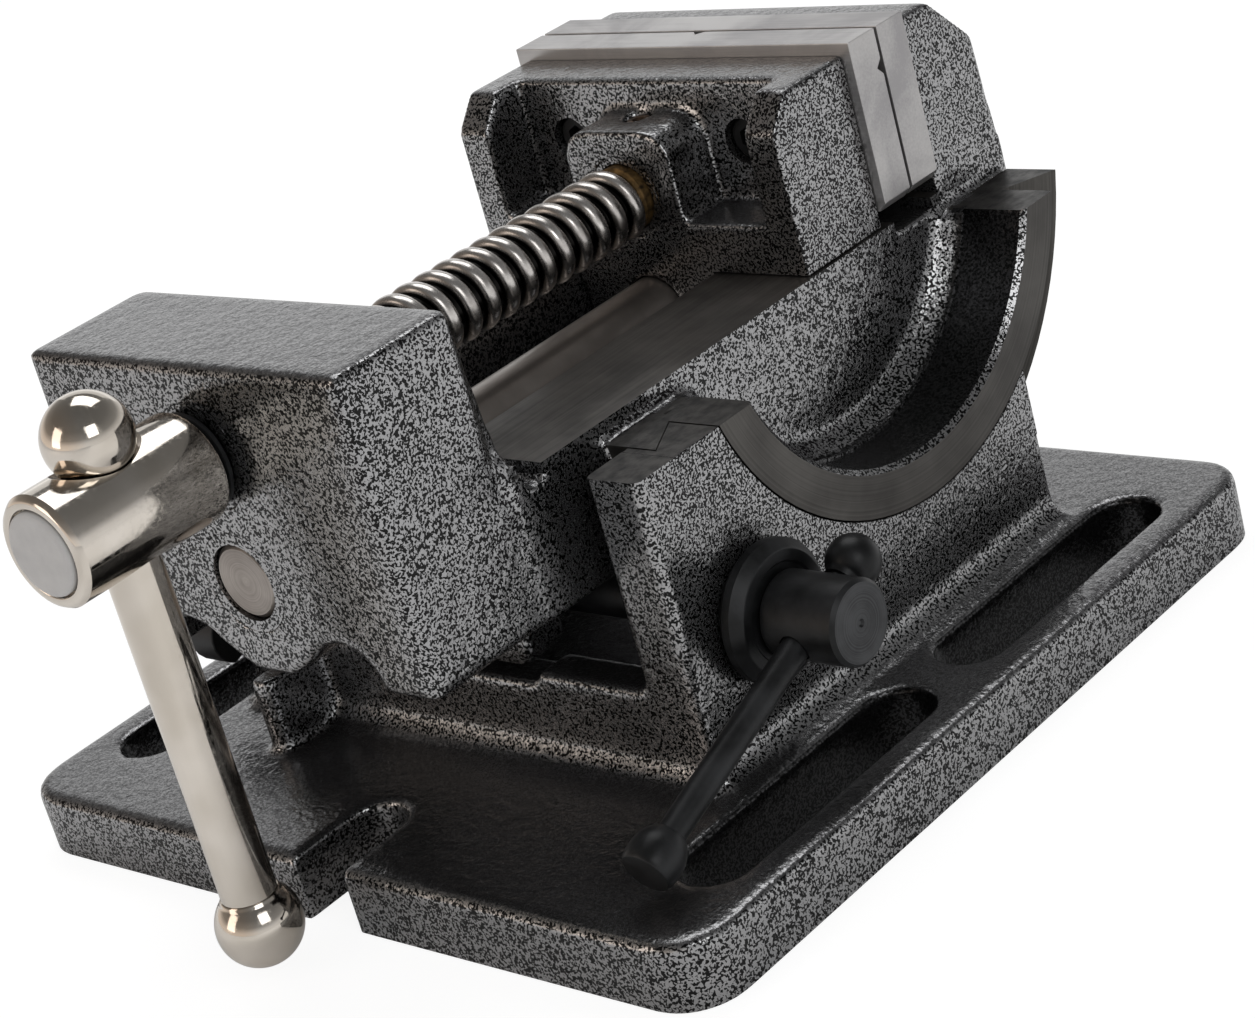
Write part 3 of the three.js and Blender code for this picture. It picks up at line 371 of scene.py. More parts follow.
def groundSteel():
    # Hardened jaw steel, surface ground: pale and satin, with fine parallel grinding lines and
    # smears.
    look = {"pale": "#b3b1b0", "grey": "#9c9a9b", "lineMm": 0.55, "smearMm": 22}
    material, tree, shader, place = newMaterial("groundJawSteel")
    along = addNode(tree, "ShaderNodeMapping", {"Scale": (0.03, 1, 1)},
                    {"Vector": place}).outputs[0]
    lines = addNode(tree, "ShaderNodeTexNoise", {
        "Scale": perMm(look["lineMm"]), "Detail": 2.0, "Roughness": 0.6},
        {"Vector": along}).outputs["Fac"]
    smears = addNode(tree, "ShaderNodeTexNoise", {
        "Scale": perMm(look["smearMm"]), "Detail": 4.0, "Roughness": 0.6, "Distortion": 0.6},
        {"Vector": place}).outputs["Fac"]
    mixed = addNode(tree, "ShaderNodeMath", {"operation": "MULTIPLY_ADD", 1: 0.35},
                    {0: lines, 2: smears}).outputs[0]
    colour = ramp(tree, mixed, [(0.5, look["grey"]), (0.78, look["pale"])])
    tree.links.new(colour, shader.inputs["Base Color"])
    rough = ramp(tree, mixed, [(0.45, 0.42), (0.85, 0.28)])
    tree.links.new(rough, shader.inputs["Roughness"])
    bump = addNode(tree, "ShaderNodeBump", {"Strength": 0.3, "Distance": 0.02 * mm},
                   {"Height": lines}).outputs[0]
    tree.links.new(bump, shader.inputs["Normal"])
    shader.inputs["Metallic"].default_value = 0.8
    return material


def satinPlastic():
    # Moulded polyethylene plug: grey, slightly waxy, with faint handling marks.
    look = {"body": "#c2c1c0", "shade": "#b4b3b3", "grainMm": 0.8, "markMm": 6}
    material, tree, shader, place = newMaterial("mouldedGreyPolyethylene")
    marks = addNode(tree, "ShaderNodeTexNoise", {
        "Scale": perMm(look["markMm"]), "Detail": 4.0, "Roughness": 0.6},
        {"Vector": place}).outputs["Fac"]
    grain = addNode(tree, "ShaderNodeTexNoise", {
        "Scale": perMm(look["grainMm"]), "Detail": 2.0}, {"Vector": place}).outputs["Fac"]
    colour = ramp(tree, marks, [(0.3, look["shade"]), (0.7, look["body"])])
    tree.links.new(colour, shader.inputs["Base Color"])
    bump = addNode(tree, "ShaderNodeBump", {"Strength": 0.15, "Distance": 0.03 * mm},
                   {"Height": grain}).outputs[0]
    tree.links.new(bump, shader.inputs["Normal"])
    shader.inputs["Roughness"].default_value = 0.42
    return material


enamel = hammeredEnamel("hammeredEnamelOnIron", "#a2a2a3")
# A darker copy of the enamel is painted shade, for the slot walls and the rim's recess.
paintedShadeEnamel = hammeredEnamel("hammeredEnamelPaintedShade", "#4c4c4d")
# A copy with lighter commas and a darker film is painted sheen, for faces that look up.
paintedSheenEnamel = hammeredEnamel("hammeredEnamelPaintedTopSheen", "#8a8a8b", "#646465", 0.9, 0.42)
groundWay = streakedIron("planedIronWay", {
    "stretch": (1, 0.02, 1), "lineMm": 0.9, "cloudMm": 16, "lineShare": 0.5, "dark": "#3a3836",
    "light": "#5f5c59", "roughness": 0.36, "depthMm": 0.01, "metallic": 0.8})
milledEnd = streakedIron("roughMilledIron", {
    "stretch": (1, 0.3, 1), "lineMm": 1.1, "cloudMm": 3.2, "lineShare": 0.4, "dark": "#1c1b1b",
    "light": "#444240", "roughness": 0.38, "depthMm": 0.12, "metallic": 0.7})
boredRim = ringedMetal("boredIronRim", {
    "centre": tiltAxis, "axis": "X", "ringMm": 0.5, "cloudMm": 26, "ringShare": 0.6,
    "dark": "#3e3c3a", "light": "#575552", "roughness": 0.35, "ringDepthMm": 0.01, "metallic": 0.8})
# The thread's roots are painted near black as painted shade.
turnedScrew = ringedMetal("screwSteelPaintedRootShade", {
    "centre": screwAxis, "axis": "Y", "ringMm": 0.4, "cloudMm": 4, "ringShare": 0.25,
    "dark": "#a8a39f", "light": "#ddd9d5", "roughness": 0.26, "ringDepthMm": 0.004, "metallic": 1,
    "root": "#1c1b1a", "crestMm": (7.3, 8.4)})
turnedRod = ringedMetal("turnedRodSteel", {
    "centre": rodAxis, "axis": "Y", "ringMm": 0.55, "cloudMm": 22, "ringShare": 0.6,
    "dark": "#78716c", "light": "#a09993", "roughness": 0.34, "ringDepthMm": 0.02,
    "metallic": 0.85})
lockFace = ringedMetal("blackenedTurnedSteel", {
    "centre": lockAxis, "axis": "X", "ringMm": 0.35, "cloudMm": 12, "ringShare": 0.8,
    "dark": "#27282a", "light": "#3d3e40", "roughness": 0.4, "ringDepthMm": 0.008, "metallic": 0.6})
oiledBronze = ringedMetal("oiledBronze", {
    "centre": screwAxis, "axis": "Y", "ringMm": 0.7, "cloudMm": 2.2, "ringShare": 0.3,
    "dark": "#2e2417", "light": "#98794c", "roughness": 0.42, "ringDepthMm": 0.02, "metallic": 0.8})
rustedScrew = streakedIron("rustedSetScrewSteel", {
    "stretch": (1, 1, 1), "lineMm": 0.5, "cloudMm": 1.4, "lineShare": 0.5, "dark": "#241d18",
    "light": "#5c4a3b", "roughness": 0.6, "depthMm": 0.05, "metallic": 0.4})
nickel = nickelPlate()
black = blackOxide()
jawSteel = groundSteel()
plugPlastic = satinPlastic()
print("materials made:", len(bpy.data.materials))


# Castings: each is a sand casting, soft at every edge, with a few places that a cutter left
# crisp. The lengths in the looks below are in mm.

def castingCopy(name, node):
    obj = bpy.data.objects.new(name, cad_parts[node].data.copy())
    bpy.context.scene.collection.objects.link(obj)
    editMesh(obj, "VERT")
    bpy.ops.mesh.remove_doubles(threshold=0.02 * mm)
    bpy.ops.mesh.dissolve_degenerate(threshold=0.02 * mm)
    bpy.ops.mesh.dissolve_limited(angle_limit=math.radians(0.8))
    objectMode()
    obj.data.materials.clear()
    return obj


def blockOf(low, high):
    low, high = Vector(low) * mm, Vector(high) * mm
    bpy.ops.mesh.primitive_cube_add(size=1, location=(low + high) / 2)
    obj = bpy.context.object
    obj.scale = high - low
    applyPlace(obj)
    return obj


def drumOf(axis, radius, start, end, centre, hole=0):
    obj = turnOnLathe("drum", axis, [(radius, start), (radius, end)], centre, 96)
    if hole:
        inner = turnOnLathe("hole", axis, [(hole, start - 1), (hole, end + 1)], centre, 96)
        combine(obj, inner, "DIFFERENCE")
    return obj


def addStock(obj, stock):  # grows a flat end, so that its rim is still square once it is cut back
    for way, at, grow, aboveZ in stock:
        index = "xyz".index(way)
        for vert in obj.data.vertices:
            if abs(vert.co[index] - at * mm) < 0.02 * mm and vert.co.z > aboveZ * mm:
                vert.co[index] += grow * mm


def rimFillet(side):  # the broad round where the side wall meets the rim's recess
    start, end = side * 47, side * 54
    ring = turnOnLathe("rimFillet", "x", [(54, start), (54, end)], tiltAxis, 96)
    cone = turnOnLathe("rimFilletBore", "x", [(45.6, start - side), (52.0, end)], tiltAxis, 96)
    combine(ring, cone, "DIFFERENCE")
    combine(ring, blockOf((-80, -60, 83.5), (80, 130, 170)), "DIFFERENCE")
    return ring


def blockFlank(side):  # the side wall's face runs on into the front block's side
    low, high = sorted((side * 44, side * 48.5))
    flank = blockOf((low, -86, 57.1), (high, -58, 84))
    for vert in flank.data.vertices:
        if vert.co.y < -70 * mm and abs(vert.co.x) > 46 * mm:
            vert.co.x = side * (47.95 if vert.co.z < 70 * mm else 47.4) * mm
    return flank


def sandCast(name, node, cast):
    # The CAD solid is remeshed into a soft skin. Inside the machined zones the skin is then
    # swapped for the solid itself, with its edges just broken.
    skin = castingCopy(name, node)
    addStock(skin, cast["stock"])
    for extra in cast["added"]():
        combine(skin, extra, "UNION")
    remesh = skin.modifiers.new("skin", "REMESH")
    remesh.mode = "VOXEL"
    remesh.voxel_size = cast["grainMm"] * mm
    soften = skin.modifiers.new("soften", "SMOOTH")
    soften.factor = 0.5
    soften.iterations = cast["soften"]
    thin = skin.modifiers.new("thin", "DECIMATE")
    thin.ratio = cast["keep"]
    applyModifiers(skin)
    for low, high in cast["cuts"]:
        combine(skin, blockOf(low, high), "DIFFERENCE")
    zones = cast["machined"]()
    zone = zones[0]
    for other in zones[1:]:
        combine(zone, other, "UNION")
    crisp = castingCopy(name + "Crisp", node)
    zoneCopy = zone.copy()
    zoneCopy.data = zone.data.copy()
    bpy.context.scene.collection.objects.link(zoneCopy)
    combine(skin, zone, "DIFFERENCE")
    combine(crisp, zoneCopy, "INTERSECT")
    roundEdges(crisp, cast["edgeMm"], 1, 50)
    makeActive(skin)
    crisp.select_set(True)
    bpy.ops.object.join()
    return skin


def dressFaces(obj, finishes, finishOf):
    for material in finishes:
        obj.data.materials.append(material)
    for face in obj.data.polygons:
        face.material_index = finishOf(face.center / mm, face.normal)


def fromTilt(p):
    return math.hypot(p.y - tiltAxis[1], p.z - tiltAxis[2])


def onFlat(value, at):  # on a machined face, within a tenth of a millimetre
    return abs(value - at) < 0.1


def baseFinish(p, n):  # 0 enamel, 1 milled, 2 bored seat, 3 painted-shade enamel, 4 painted-sheen enamel
    if n.z < -0.95 and p.z < 0.1:
        return 1
    if n.z > 0.95 and onFlat(p.z, cheekTopZ):
        return 1
    if 56 < abs(p.x) < 70.3 and 62.4 < fromTilt(p) < 74.8 and p.z < 83.9:
        return 2
    # painted shade: the bolt slots' walls take the darker enamel
    if abs(n.z) < 0.6 and 76 < abs(p.x) < 98 and 1 < p.z < 15 and -92 < p.y < 96:
        return 3
    # painted sheen: faces that look up take the sheen copy of the enamel
    if n.z > 0.8:
        return 4
    return 0


def bodyFinish(p, n):  # 0 enamel, 1 planed way, 2 milled, 3 bored rim, 4 painted shade, 5 painted top sheen
    if n.z > 0.95 and onFlat(p.z, wayZ) and abs(p.x) < 48.6 and -66 < p.y < 81:
        return 1
    if n.z > 0.95 and onFlat(p.z, cheekTopZ) and abs(p.x) > 50:
        return 2
    if abs(n.x) > 0.95 and onFlat(abs(p.x), rimOuterX):
        return 3
    if abs(p.x) > 50 and fromTilt(p) > 62:
        return 3
    # painted shade: the rim's recess takes the darker enamel
    if 51.5 < abs(p.x) < 70 and fromTilt(p) > 51 and abs(n.x) < 0.55:
        return 4
    # painted sheen: faces that look up take the sheen copy of the enamel
    if n.z > 0.8:
        return 5
    return 0


baseLook = {"grainMm": 1.1, "soften": 5, "keep": 0.28, "edgeMm": 0.15, "added": lambda: [],
            "stock": [("z", cheekTopZ, 4, 80), ("z", 0, -4, -1)],
            "cuts": [((-75, -60, cheekTopZ), (75, 110, 90)), ((-110, -110, -6), (110, 110, 0))],
            "machined": lambda: [
                drumOf("x", 76.3, side * 50, side * 74, tiltAxis) for side in (-1, 1)]}
baseCast = sandCast("baseCastingSand", "base_casting", baseLook)
dressFaces(baseCast, [enamel, milledEnd, boredRim, paintedShadeEnamel, paintedSheenEnamel], baseFinish)
finishPiece(baseCast, "base", "base_casting")

bodyLook = {"grainMm": 1.1, "soften": 5, "keep": 0.28, "edgeMm": 0.15,
            "added": lambda: [rimFillet(-1), rimFillet(1), blockFlank(-1), blockFlank(1)],
            "stock": [("y", fixedBlockY, -4, 88.5)],
            "cuts": [((-60, 74, wayZ), (60, fixedBlockY, 132))],
            "machined": lambda: [
                blockOf((-49.6, -63, 85.5), (49.6, fixedBlockY, 90)),
                blockOf((54, -60, 20), (74, 130, 90)), blockOf((-74, -60, 20), (-54, 130, 90)),
                drumOf("x", 78, 50.2, 55, tiltAxis, 60), drumOf("x", 78, -55, -50.2, tiltAxis, 60),
                drumOf("y", 11, -99, -92, rodAxis), drumOf("y", 11.5, -99, -94, screwAxis),
                drumOf("y", 7.5, 86, 112, (-plateScrewX, 0, plateScrewZ)),
                drumOf("y", 7.5, 86, 112, (plateScrewX, 0, plateScrewZ))]}
bodyCast = sandCast("viseBodySand", "vise_body", bodyLook)
bodyFinishes = [enamel, groundWay, milledEnd, boredRim, paintedShadeEnamel, paintedSheenEnamel]
dressFaces(bodyCast, bodyFinishes, bodyFinish)
finishPiece(bodyCast, "body", "vise_body")

jawLook = {"grainMm": 0.8, "soften": 6, "keep": 0.4, "edgeMm": 0.15, "added": lambda: [],
           "stock": [("y", jawRearY, 4, 60), ("z", jawFootZ, -4, 80)],
           "cuts": [((-60, jawRearY, 60), (60, 70, 132)),
                    ((-60, 28, 80), (-20.6, 66, jawFootZ)), ((20.6, 28, 80), (60, 66, jawFootZ))],
           "machined": lambda: [
               drumOf("y", 6.8, 46.5, 62, (-plateScrewX, 0, plateScrewZ)),
               drumOf("y", 6.8, 46.5, 62, (plateScrewX, 0, plateScrewZ)),
               drumOf("y", 9.4, 32, 50, screwAxis)]}
jawCast = sandCast("movingJawSand", "moving_jaw", jawLook)
# Faces that look up take the painted sheen copy of the enamel.
dressFaces(jawCast, [enamel, paintedSheenEnamel], lambda p, n: 1 if n.z > 0.8 else 0)
finishPiece(jawCast, "jaw", "moving_jaw")
print("castings made")


# Jaw plates

def jawPlate(name, body, node, plate):
    low, high = (Vector(corner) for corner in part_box(node))
    bpy.ops.mesh.primitive_cube_add(size=1, location=(low + high) / 2)
    obj = bpy.context.object
    obj.name = name
    obj.scale = high - low
    applyPlace(obj)
    editMesh(obj, "EDGE")
    mesh = bmesh.from_edit_mesh(obj.data)
    for edge in mesh.edges:  # the two lower corners, which are ground off
        ends = [v.co for v in edge.verts]
        onFoot = all(abs(e.z - low.z) < 0.01 * mm for e in ends)
        edge.select_set(onFoot and abs(ends[0].x - ends[1].x) < 0.01 * mm)
    mesh.select_flush_mode()
    bmesh.update_edit_mesh(obj.data)
    bpy.ops.mesh.bevel(offset=plate["cornerMm"] * mm, segments=1, affect="EDGES")
    objectMode()
    for groove in plate["grooves"]:
        middle = Vector(groove["at"]) * mm
        bpy.ops.mesh.primitive_cube_add(size=1, location=middle)
        cutter = bpy.context.object
        cutter.scale = Vector(groove["size"]) * mm
        applyPlace(cutter)
        editMesh(cutter)
        bpy.ops.transform.rotate(
            value=math.radians(45), orient_axis=groove["axis"], center_override=middle)
        objectMode()
        cutAway(obj, cutter)
    roundEdges(obj, plate["edgeMm"], 2)
    finishPiece(obj, body, node, jawSteel, 25)


plateFaceY = nodeReach("moving_jaw_plate", "y")[1]
vSide = 2.4
fixedPlate = {"cornerMm": 2.0, "edgeMm": 0.3, "grooves": []}
movingPlate = {"cornerMm": 2.0, "edgeMm": 0.3, "grooves": [
    {"at": (0, plateFaceY, 111), "size": (vSide, vSide, 60), "axis": "Z"},
    {"at": (0, plateFaceY, 122), "size": (120, vSide, vSide), "axis": "X"}]}
jawPlate("fixedPlateGround", "body", "fixed_jaw_plate", fixedPlate)
jawPlate("movingPlateGround", "jaw", "moving_jaw_plate", movingPlate)
print("jaw plates made")


# Cap screws that hold the plates

def capScrew(name, body, node, x, away, screw):
    tipY, headY = nodeReach(node, "y")[::away]
    seatY = headY - away * screw["headMm"]
    edge = screw["edgeMm"] * away
    rings = [(screw["shank"], tipY), (screw["shank"], seatY), (screw["head"], seatY),
             (screw["head"], headY - edge), (screw["head"] - screw["edgeMm"], headY)]
    obj = turnOnLathe(name, "y", rings, (x, 0, screw["z"]), 48)
    bpy.ops.mesh.primitive_cylinder_add(
        vertices=6, radius=screw["key"] * mm, depth=2 * screw["keyDeep"] * mm,
        location=Vector((x, headY, screw["z"])) * mm, rotation=axisTurn["y"])
    cutAway(obj, bpy.context.object)
    finishPiece(obj, body, node, black)


plateScrew = {"shank": 3, "head": 5, "headMm": 6, "z": plateScrewZ, "edgeMm": 0.5, "key": 2.8,
              "keyDeep": 3}
for side, x in (("left", -plateScrewX), ("right", plateScrewX)):
    capScrew("fixedCapScrew." + side, "body", "fixed_jaw_screw_" + side, x, 1, plateScrew)
    capScrew("movingCapScrew." + side, "jaw", "moving_jaw_screw_" + side, x, -1, plateScrew)
print("cap screws made")


# Lead screw: a coarse rolled thread between two plain ends

def leadScrew():
    screw = {"pitch": 6.0, "front": -96.2, "rear": 31.2, "sides": 60,
             "profile": [(0.0, 6.6), (1.0, 6.5), (1.7, 6.7), (1.95, 7.3), (2.1, 7.8), (2.4, 8.3),
                         (2.85, 8.63), (3.4, 8.77), (3.85, 8.8), (4.3, 8.77), (4.85, 8.63),
                         (5.3, 8.3), (5.6, 7.8), (5.75, 7.3), (6.0, 6.6)]}
    bpy.ops.mesh.primitive_plane_add(size=1)
    obj = bpy.context.object
    obj.name = "leadScrewRolled"
    editMesh(obj, "VERT")
    mesh = bmesh.from_edit_mesh(obj.data)
    keep = mesh.verts[:][0]
    for vert in mesh.verts[:]:
        if vert is not keep:
            mesh.verts.remove(vert)
    start = screw["profile"][0]
    keep.co = Vector((0, screw["front"] - 2 * screw["pitch"] + start[0], start[1])) * mm
    keep.select_set(True)
    bmesh.update_edit_mesh(obj.data)
    for (a0, r0), (a1, r1) in zip(screw["profile"], screw["profile"][1:]):
        bpy.ops.mesh.extrude_region_move(
            TRANSFORM_OT_translate={"value": Vector((0, a1 - a0, r1 - r0)) * mm})
    objectMode()
    turns = math.ceil((screw["rear"] - screw["front"]) / screw["pitch"]) + 3
    wind = obj.modifiers.new("wind", "SCREW")
    wind.axis = "Y"
    wind.angle = 2 * math.pi
    wind.screw_offset = screw["pitch"] * mm
    wind.iterations = turns
    wind.steps = screw["sides"]
    wind.render_steps = screw["sides"]
    wind.use_merge_vertices = True
    wind.merge_threshold = 0.01 * mm
    applyModifiers(obj)
    obj.location = Vector(screwAxis) * mm
    applyPlace(obj)
    editMesh(obj, "VERT")
    bpy.ops.mesh.remove_doubles(threshold=0.01 * mm)
    for place, way in ((screw["front"], -1), (screw["rear"], 1)):
        bpy.ops.mesh.select_all(action="SELECT")
        bpy.ops.mesh.bisect(plane_co=Vector((0, place, 0)) * mm, plane_no=(0, way, 0),
                            use_fill=True, clear_outer=True)
    bpy.ops.mesh.select_all(action="SELECT")
    bpy.ops.mesh.normals_make_consistent(inside=False)
    objectMode()
    ends = turnOnLathe("screwPlainEnds", "y", [
        (6.2, -111.3), (6.2, 40.9), (4.4, 41.2), (4.4, 47.7), (6.2, 47.7), (6.2, 50.9),
        (6.0, 51.1)], screwAxis, 48)
    makeActive(obj)
    ends.select_set(True)
    bpy.ops.object.join()
    finishPiece(obj, "screw", "lead_screw", turnedScrew, 40)


leadScrew()
collarFront, collarRear = nodeReach("screw_collar", "y")
collar = turnOnLathe("screwCollarTurned", "y", [
    (9.6, collarFront), (10.5, collarFront + 0.5), (10.5, collarRear - 0.4), (10.1, collarRear)],
    screwAxis)
finishPiece(collar, "screw", "screw_collar", black)
bush = turnOnLathe("screwBushTurned", "y", [
    (6.9, 31.65), (7.7, 32.3), (7.7, 40.5)], screwAxis)
finishPiece(bush, "jaw", "screw_bush", oiledBronze)
setScrewPlace = (0, 44.3, 0)
setFoot, setHead = nodeReach("screw_set_screw", "z")
setScrew = turnOnLathe("setScrewTurned", "z", [
    (2.6, setFoot), (3.0, setFoot + 0.5), (3.0, setHead - 0.9), (2.6, setHead - 0.5)],
    setScrewPlace, 40)
bpy.ops.mesh.primitive_cylinder_add(vertices=6, radius=1.6 * mm, depth=4 * mm,
                                    location=Vector((0, setScrewPlace[1], setHead)) * mm)
cutAway(setScrew, bpy.context.object)
finishPiece(setScrew, "jaw", "screw_set_screw", rustedScrew)
guide = turnOnLathe("guideRodTurned", "y", [
    (1.2, -95.9), (1.6, -96.1), (7.4, -96.1), (8.25, -95.3), (8.25, 81.0), (7.8, 81.5)], rodAxis)
finishPiece(guide, "body", "guide_rod", turnedRod)
print("screw and rod made")


# Handle

handle = {"barY": -119.6, "frontY": -137.6, "rearY": -99.8, "radius": 12,
          "bar": 5.9, "ball": 9.2, "upper": 15.6, "lower": 93.6}


def nickelHub():
    h = handle
    obj = turnOnLathe("nickelHubTurned", "y", [
        (9.25, h["frontY"] + 2.4), (9.25, h["frontY"] + 0.25), (9.5, h["frontY"]),
        (10.6, h["frontY"]), (11.3, h["frontY"] + 0.35), (h["radius"], h["frontY"] + 1.3),
        (h["radius"], h["rearY"] - 1.6), (11.6, h["rearY"] - 0.6), (10.5, h["rearY"])],
        screwAxis, 96)
    top = screwAxis[2]
    cutter = turnOnLathe("seatCutter", "z", [
        (12.6, top + 14), (9.7, top + 11.5), (8.0, top + 10.3), (6.2, top + 8.6), (6.2, top - 8.6),
        (8.0, top - 10.3), (9.7, top - 11.5), (12.6, top - 14)], (0, h["barY"], 0), 64)
    cutAway(obj, cutter)
    roundEdges(obj, 0.3, 2, 40)
    finishPiece(obj, "screw", "screw_hub", nickel, 28)


nickelHub()
capFront = handle["frontY"] - 0.9
cap = turnOnLathe("hubCapMoulded", "y", [
    (7.6, capFront), (8.3, capFront + 0.12), (8.75, capFront + 0.5), (8.9, capFront + 1.0),
    (8.9, capFront + 3.0)], screwAxis)
finishPiece(cap, "screw", "hub_cap", plugPlastic, 40)

upperZ = screwAxis[2] + handle["upper"]
lowerZ = screwAxis[2] - handle["lower"]
bar = turnOnLathe("tommyBarTurned", "z", [
    (handle["bar"], lowerZ + 2.7), (handle["bar"], upperZ - 2.7)], (0, handle["barY"], 0), 64)
roundEdges(bar, 0.3, 2)
finishPiece(bar, "handle", "tommy_bar", nickel)

upperBall = turnOnLathe("upperBallTurned", "z", [(6.05, upperZ - 7.0)] + ballRings(
    handle["ball"], upperZ, 43, 178, 40), (0, handle["barY"], 0), 72)
finishPiece(upperBall, "handle", "tommy_ball_upper", nickel, 50)
lowerBall = turnOnLathe("lowerBallTurned", "z", ballRings(
    handle["ball"], lowerZ, 2, 136, 44) + [
    (6.3, lowerZ + 7.0), (6.1, lowerZ + 7.2), (5.95, lowerZ + 7.1)], (0, handle["barY"], 0), 72)
finishPiece(lowerBall, "handle", "tommy_ball_lower", nickel, 50)
print("handle made")


# Lock

lock = {"washerIn": 70.8, "washerOut": 77.4, "hubIn": 77.7, "hubOut": 96.6, "hub": 9.0,
        "shank": 6.0, "nutOut": -79.3, "barX": 85.2, "droop": 19, "bar": 3.0, "barFoot": -59.9,
        "barHead": 12.7, "bore": 3.35, "knob": 5.8, "knobAt": 15.1}


def layOnLockBar(obj):
    obj.rotation_euler = (math.radians(lock["droop"] - 90), 0, 0)
    obj.location = Vector((lock["barX"], lockAxis[1], lockAxis[2])) * mm
    applyPlace(obj)


washer = turnOnLathe("lockWasherTurned", "x", [
    (12.6, lock["washerIn"]), (14.4, 72.6), (15.0, 73.3), (15.0, 75.2), (14.6, 75.6),
    (13.2, 77.2), (12.7, lock["washerOut"]), (10.6, lock["washerOut"]), (10.1, 76.9),
    (9.4, 76.9)], lockAxis, 96)
finishPiece(washer, "base", "lock_washer", black)

boltRings = [(lock["shank"], lock["nutOut"] - 2.6), (lock["shank"], lock["hubIn"]),
             (8.6, lock["hubIn"]), (lock["hub"], lock["hubIn"] + 0.5),
             (lock["hub"], lock["hubOut"] - 0.9), (8.2, lock["hubOut"]),
             (0.9, lock["hubOut"]), (0.5, lock["hubOut"] - 0.5)]
bolt = turnOnLathe("lockBoltTurned", "x", boltRings, lockAxis, 80)
bore = turnOnLathe("barBore", "z", [(lock["bore"], -20), (lock["bore"], 20)], sides=48)
layOnLockBar(bore)
cutAway(bolt, bore)
roundEdges(bolt, 0.25, 2, 40)
dressFaces(bolt, [black, lockFace], lambda p, n: 1 if n.x > 0.9 and p.x > 96 else 0)
finishPiece(bolt, "lock", "lock_bolt")

nut = castingCopy("lockNutForged", "lock_nut")
roundEdges(nut, 1.2, 3)
finishPiece(nut, "base", "lock_nut", black)

lockBar = turnOnLathe("lockBarTurned", "z", [
    (lock["bar"], lock["barFoot"]), (lock["bar"], lock["barHead"])], sides=48)
layOnLockBar(lockBar)
finishPiece(lockBar, "lock_lever", "lock_bar", black)
knobUp = turnOnLathe("upperKnobTurned", "z", [(3.2, 9.55), (3.6, 9.7)] + ballRings(
    lock["knob"], lock["knobAt"], 42, 177, 28), sides=56)
layOnLockBar(knobUp)
finishPiece(knobUp, "lock_lever", "lock_knob_upper", black, 50)
knobDown = turnOnLathe("lowerKnobTurned", "z", [
    (3.3, -56.5), (3.75, -56.7), (4.4, -57.6), (5.1, -58.8), (5.6, -60.2), (5.8, -61.7),
    (5.78, -63.6), (5.5, -65.0), (5.2, -65.7), (4.9, -65.9), (0.6, -65.9)], sides=56)
layOnLockBar(knobDown)
finishPiece(knobDown, "lock_lever", "lock_knob_lower", black, 50)
print("lock made")


# Studio: white paper floor, pale surround, soft lamps above and beside

lampAim = Vector((0, 0, 0.05))


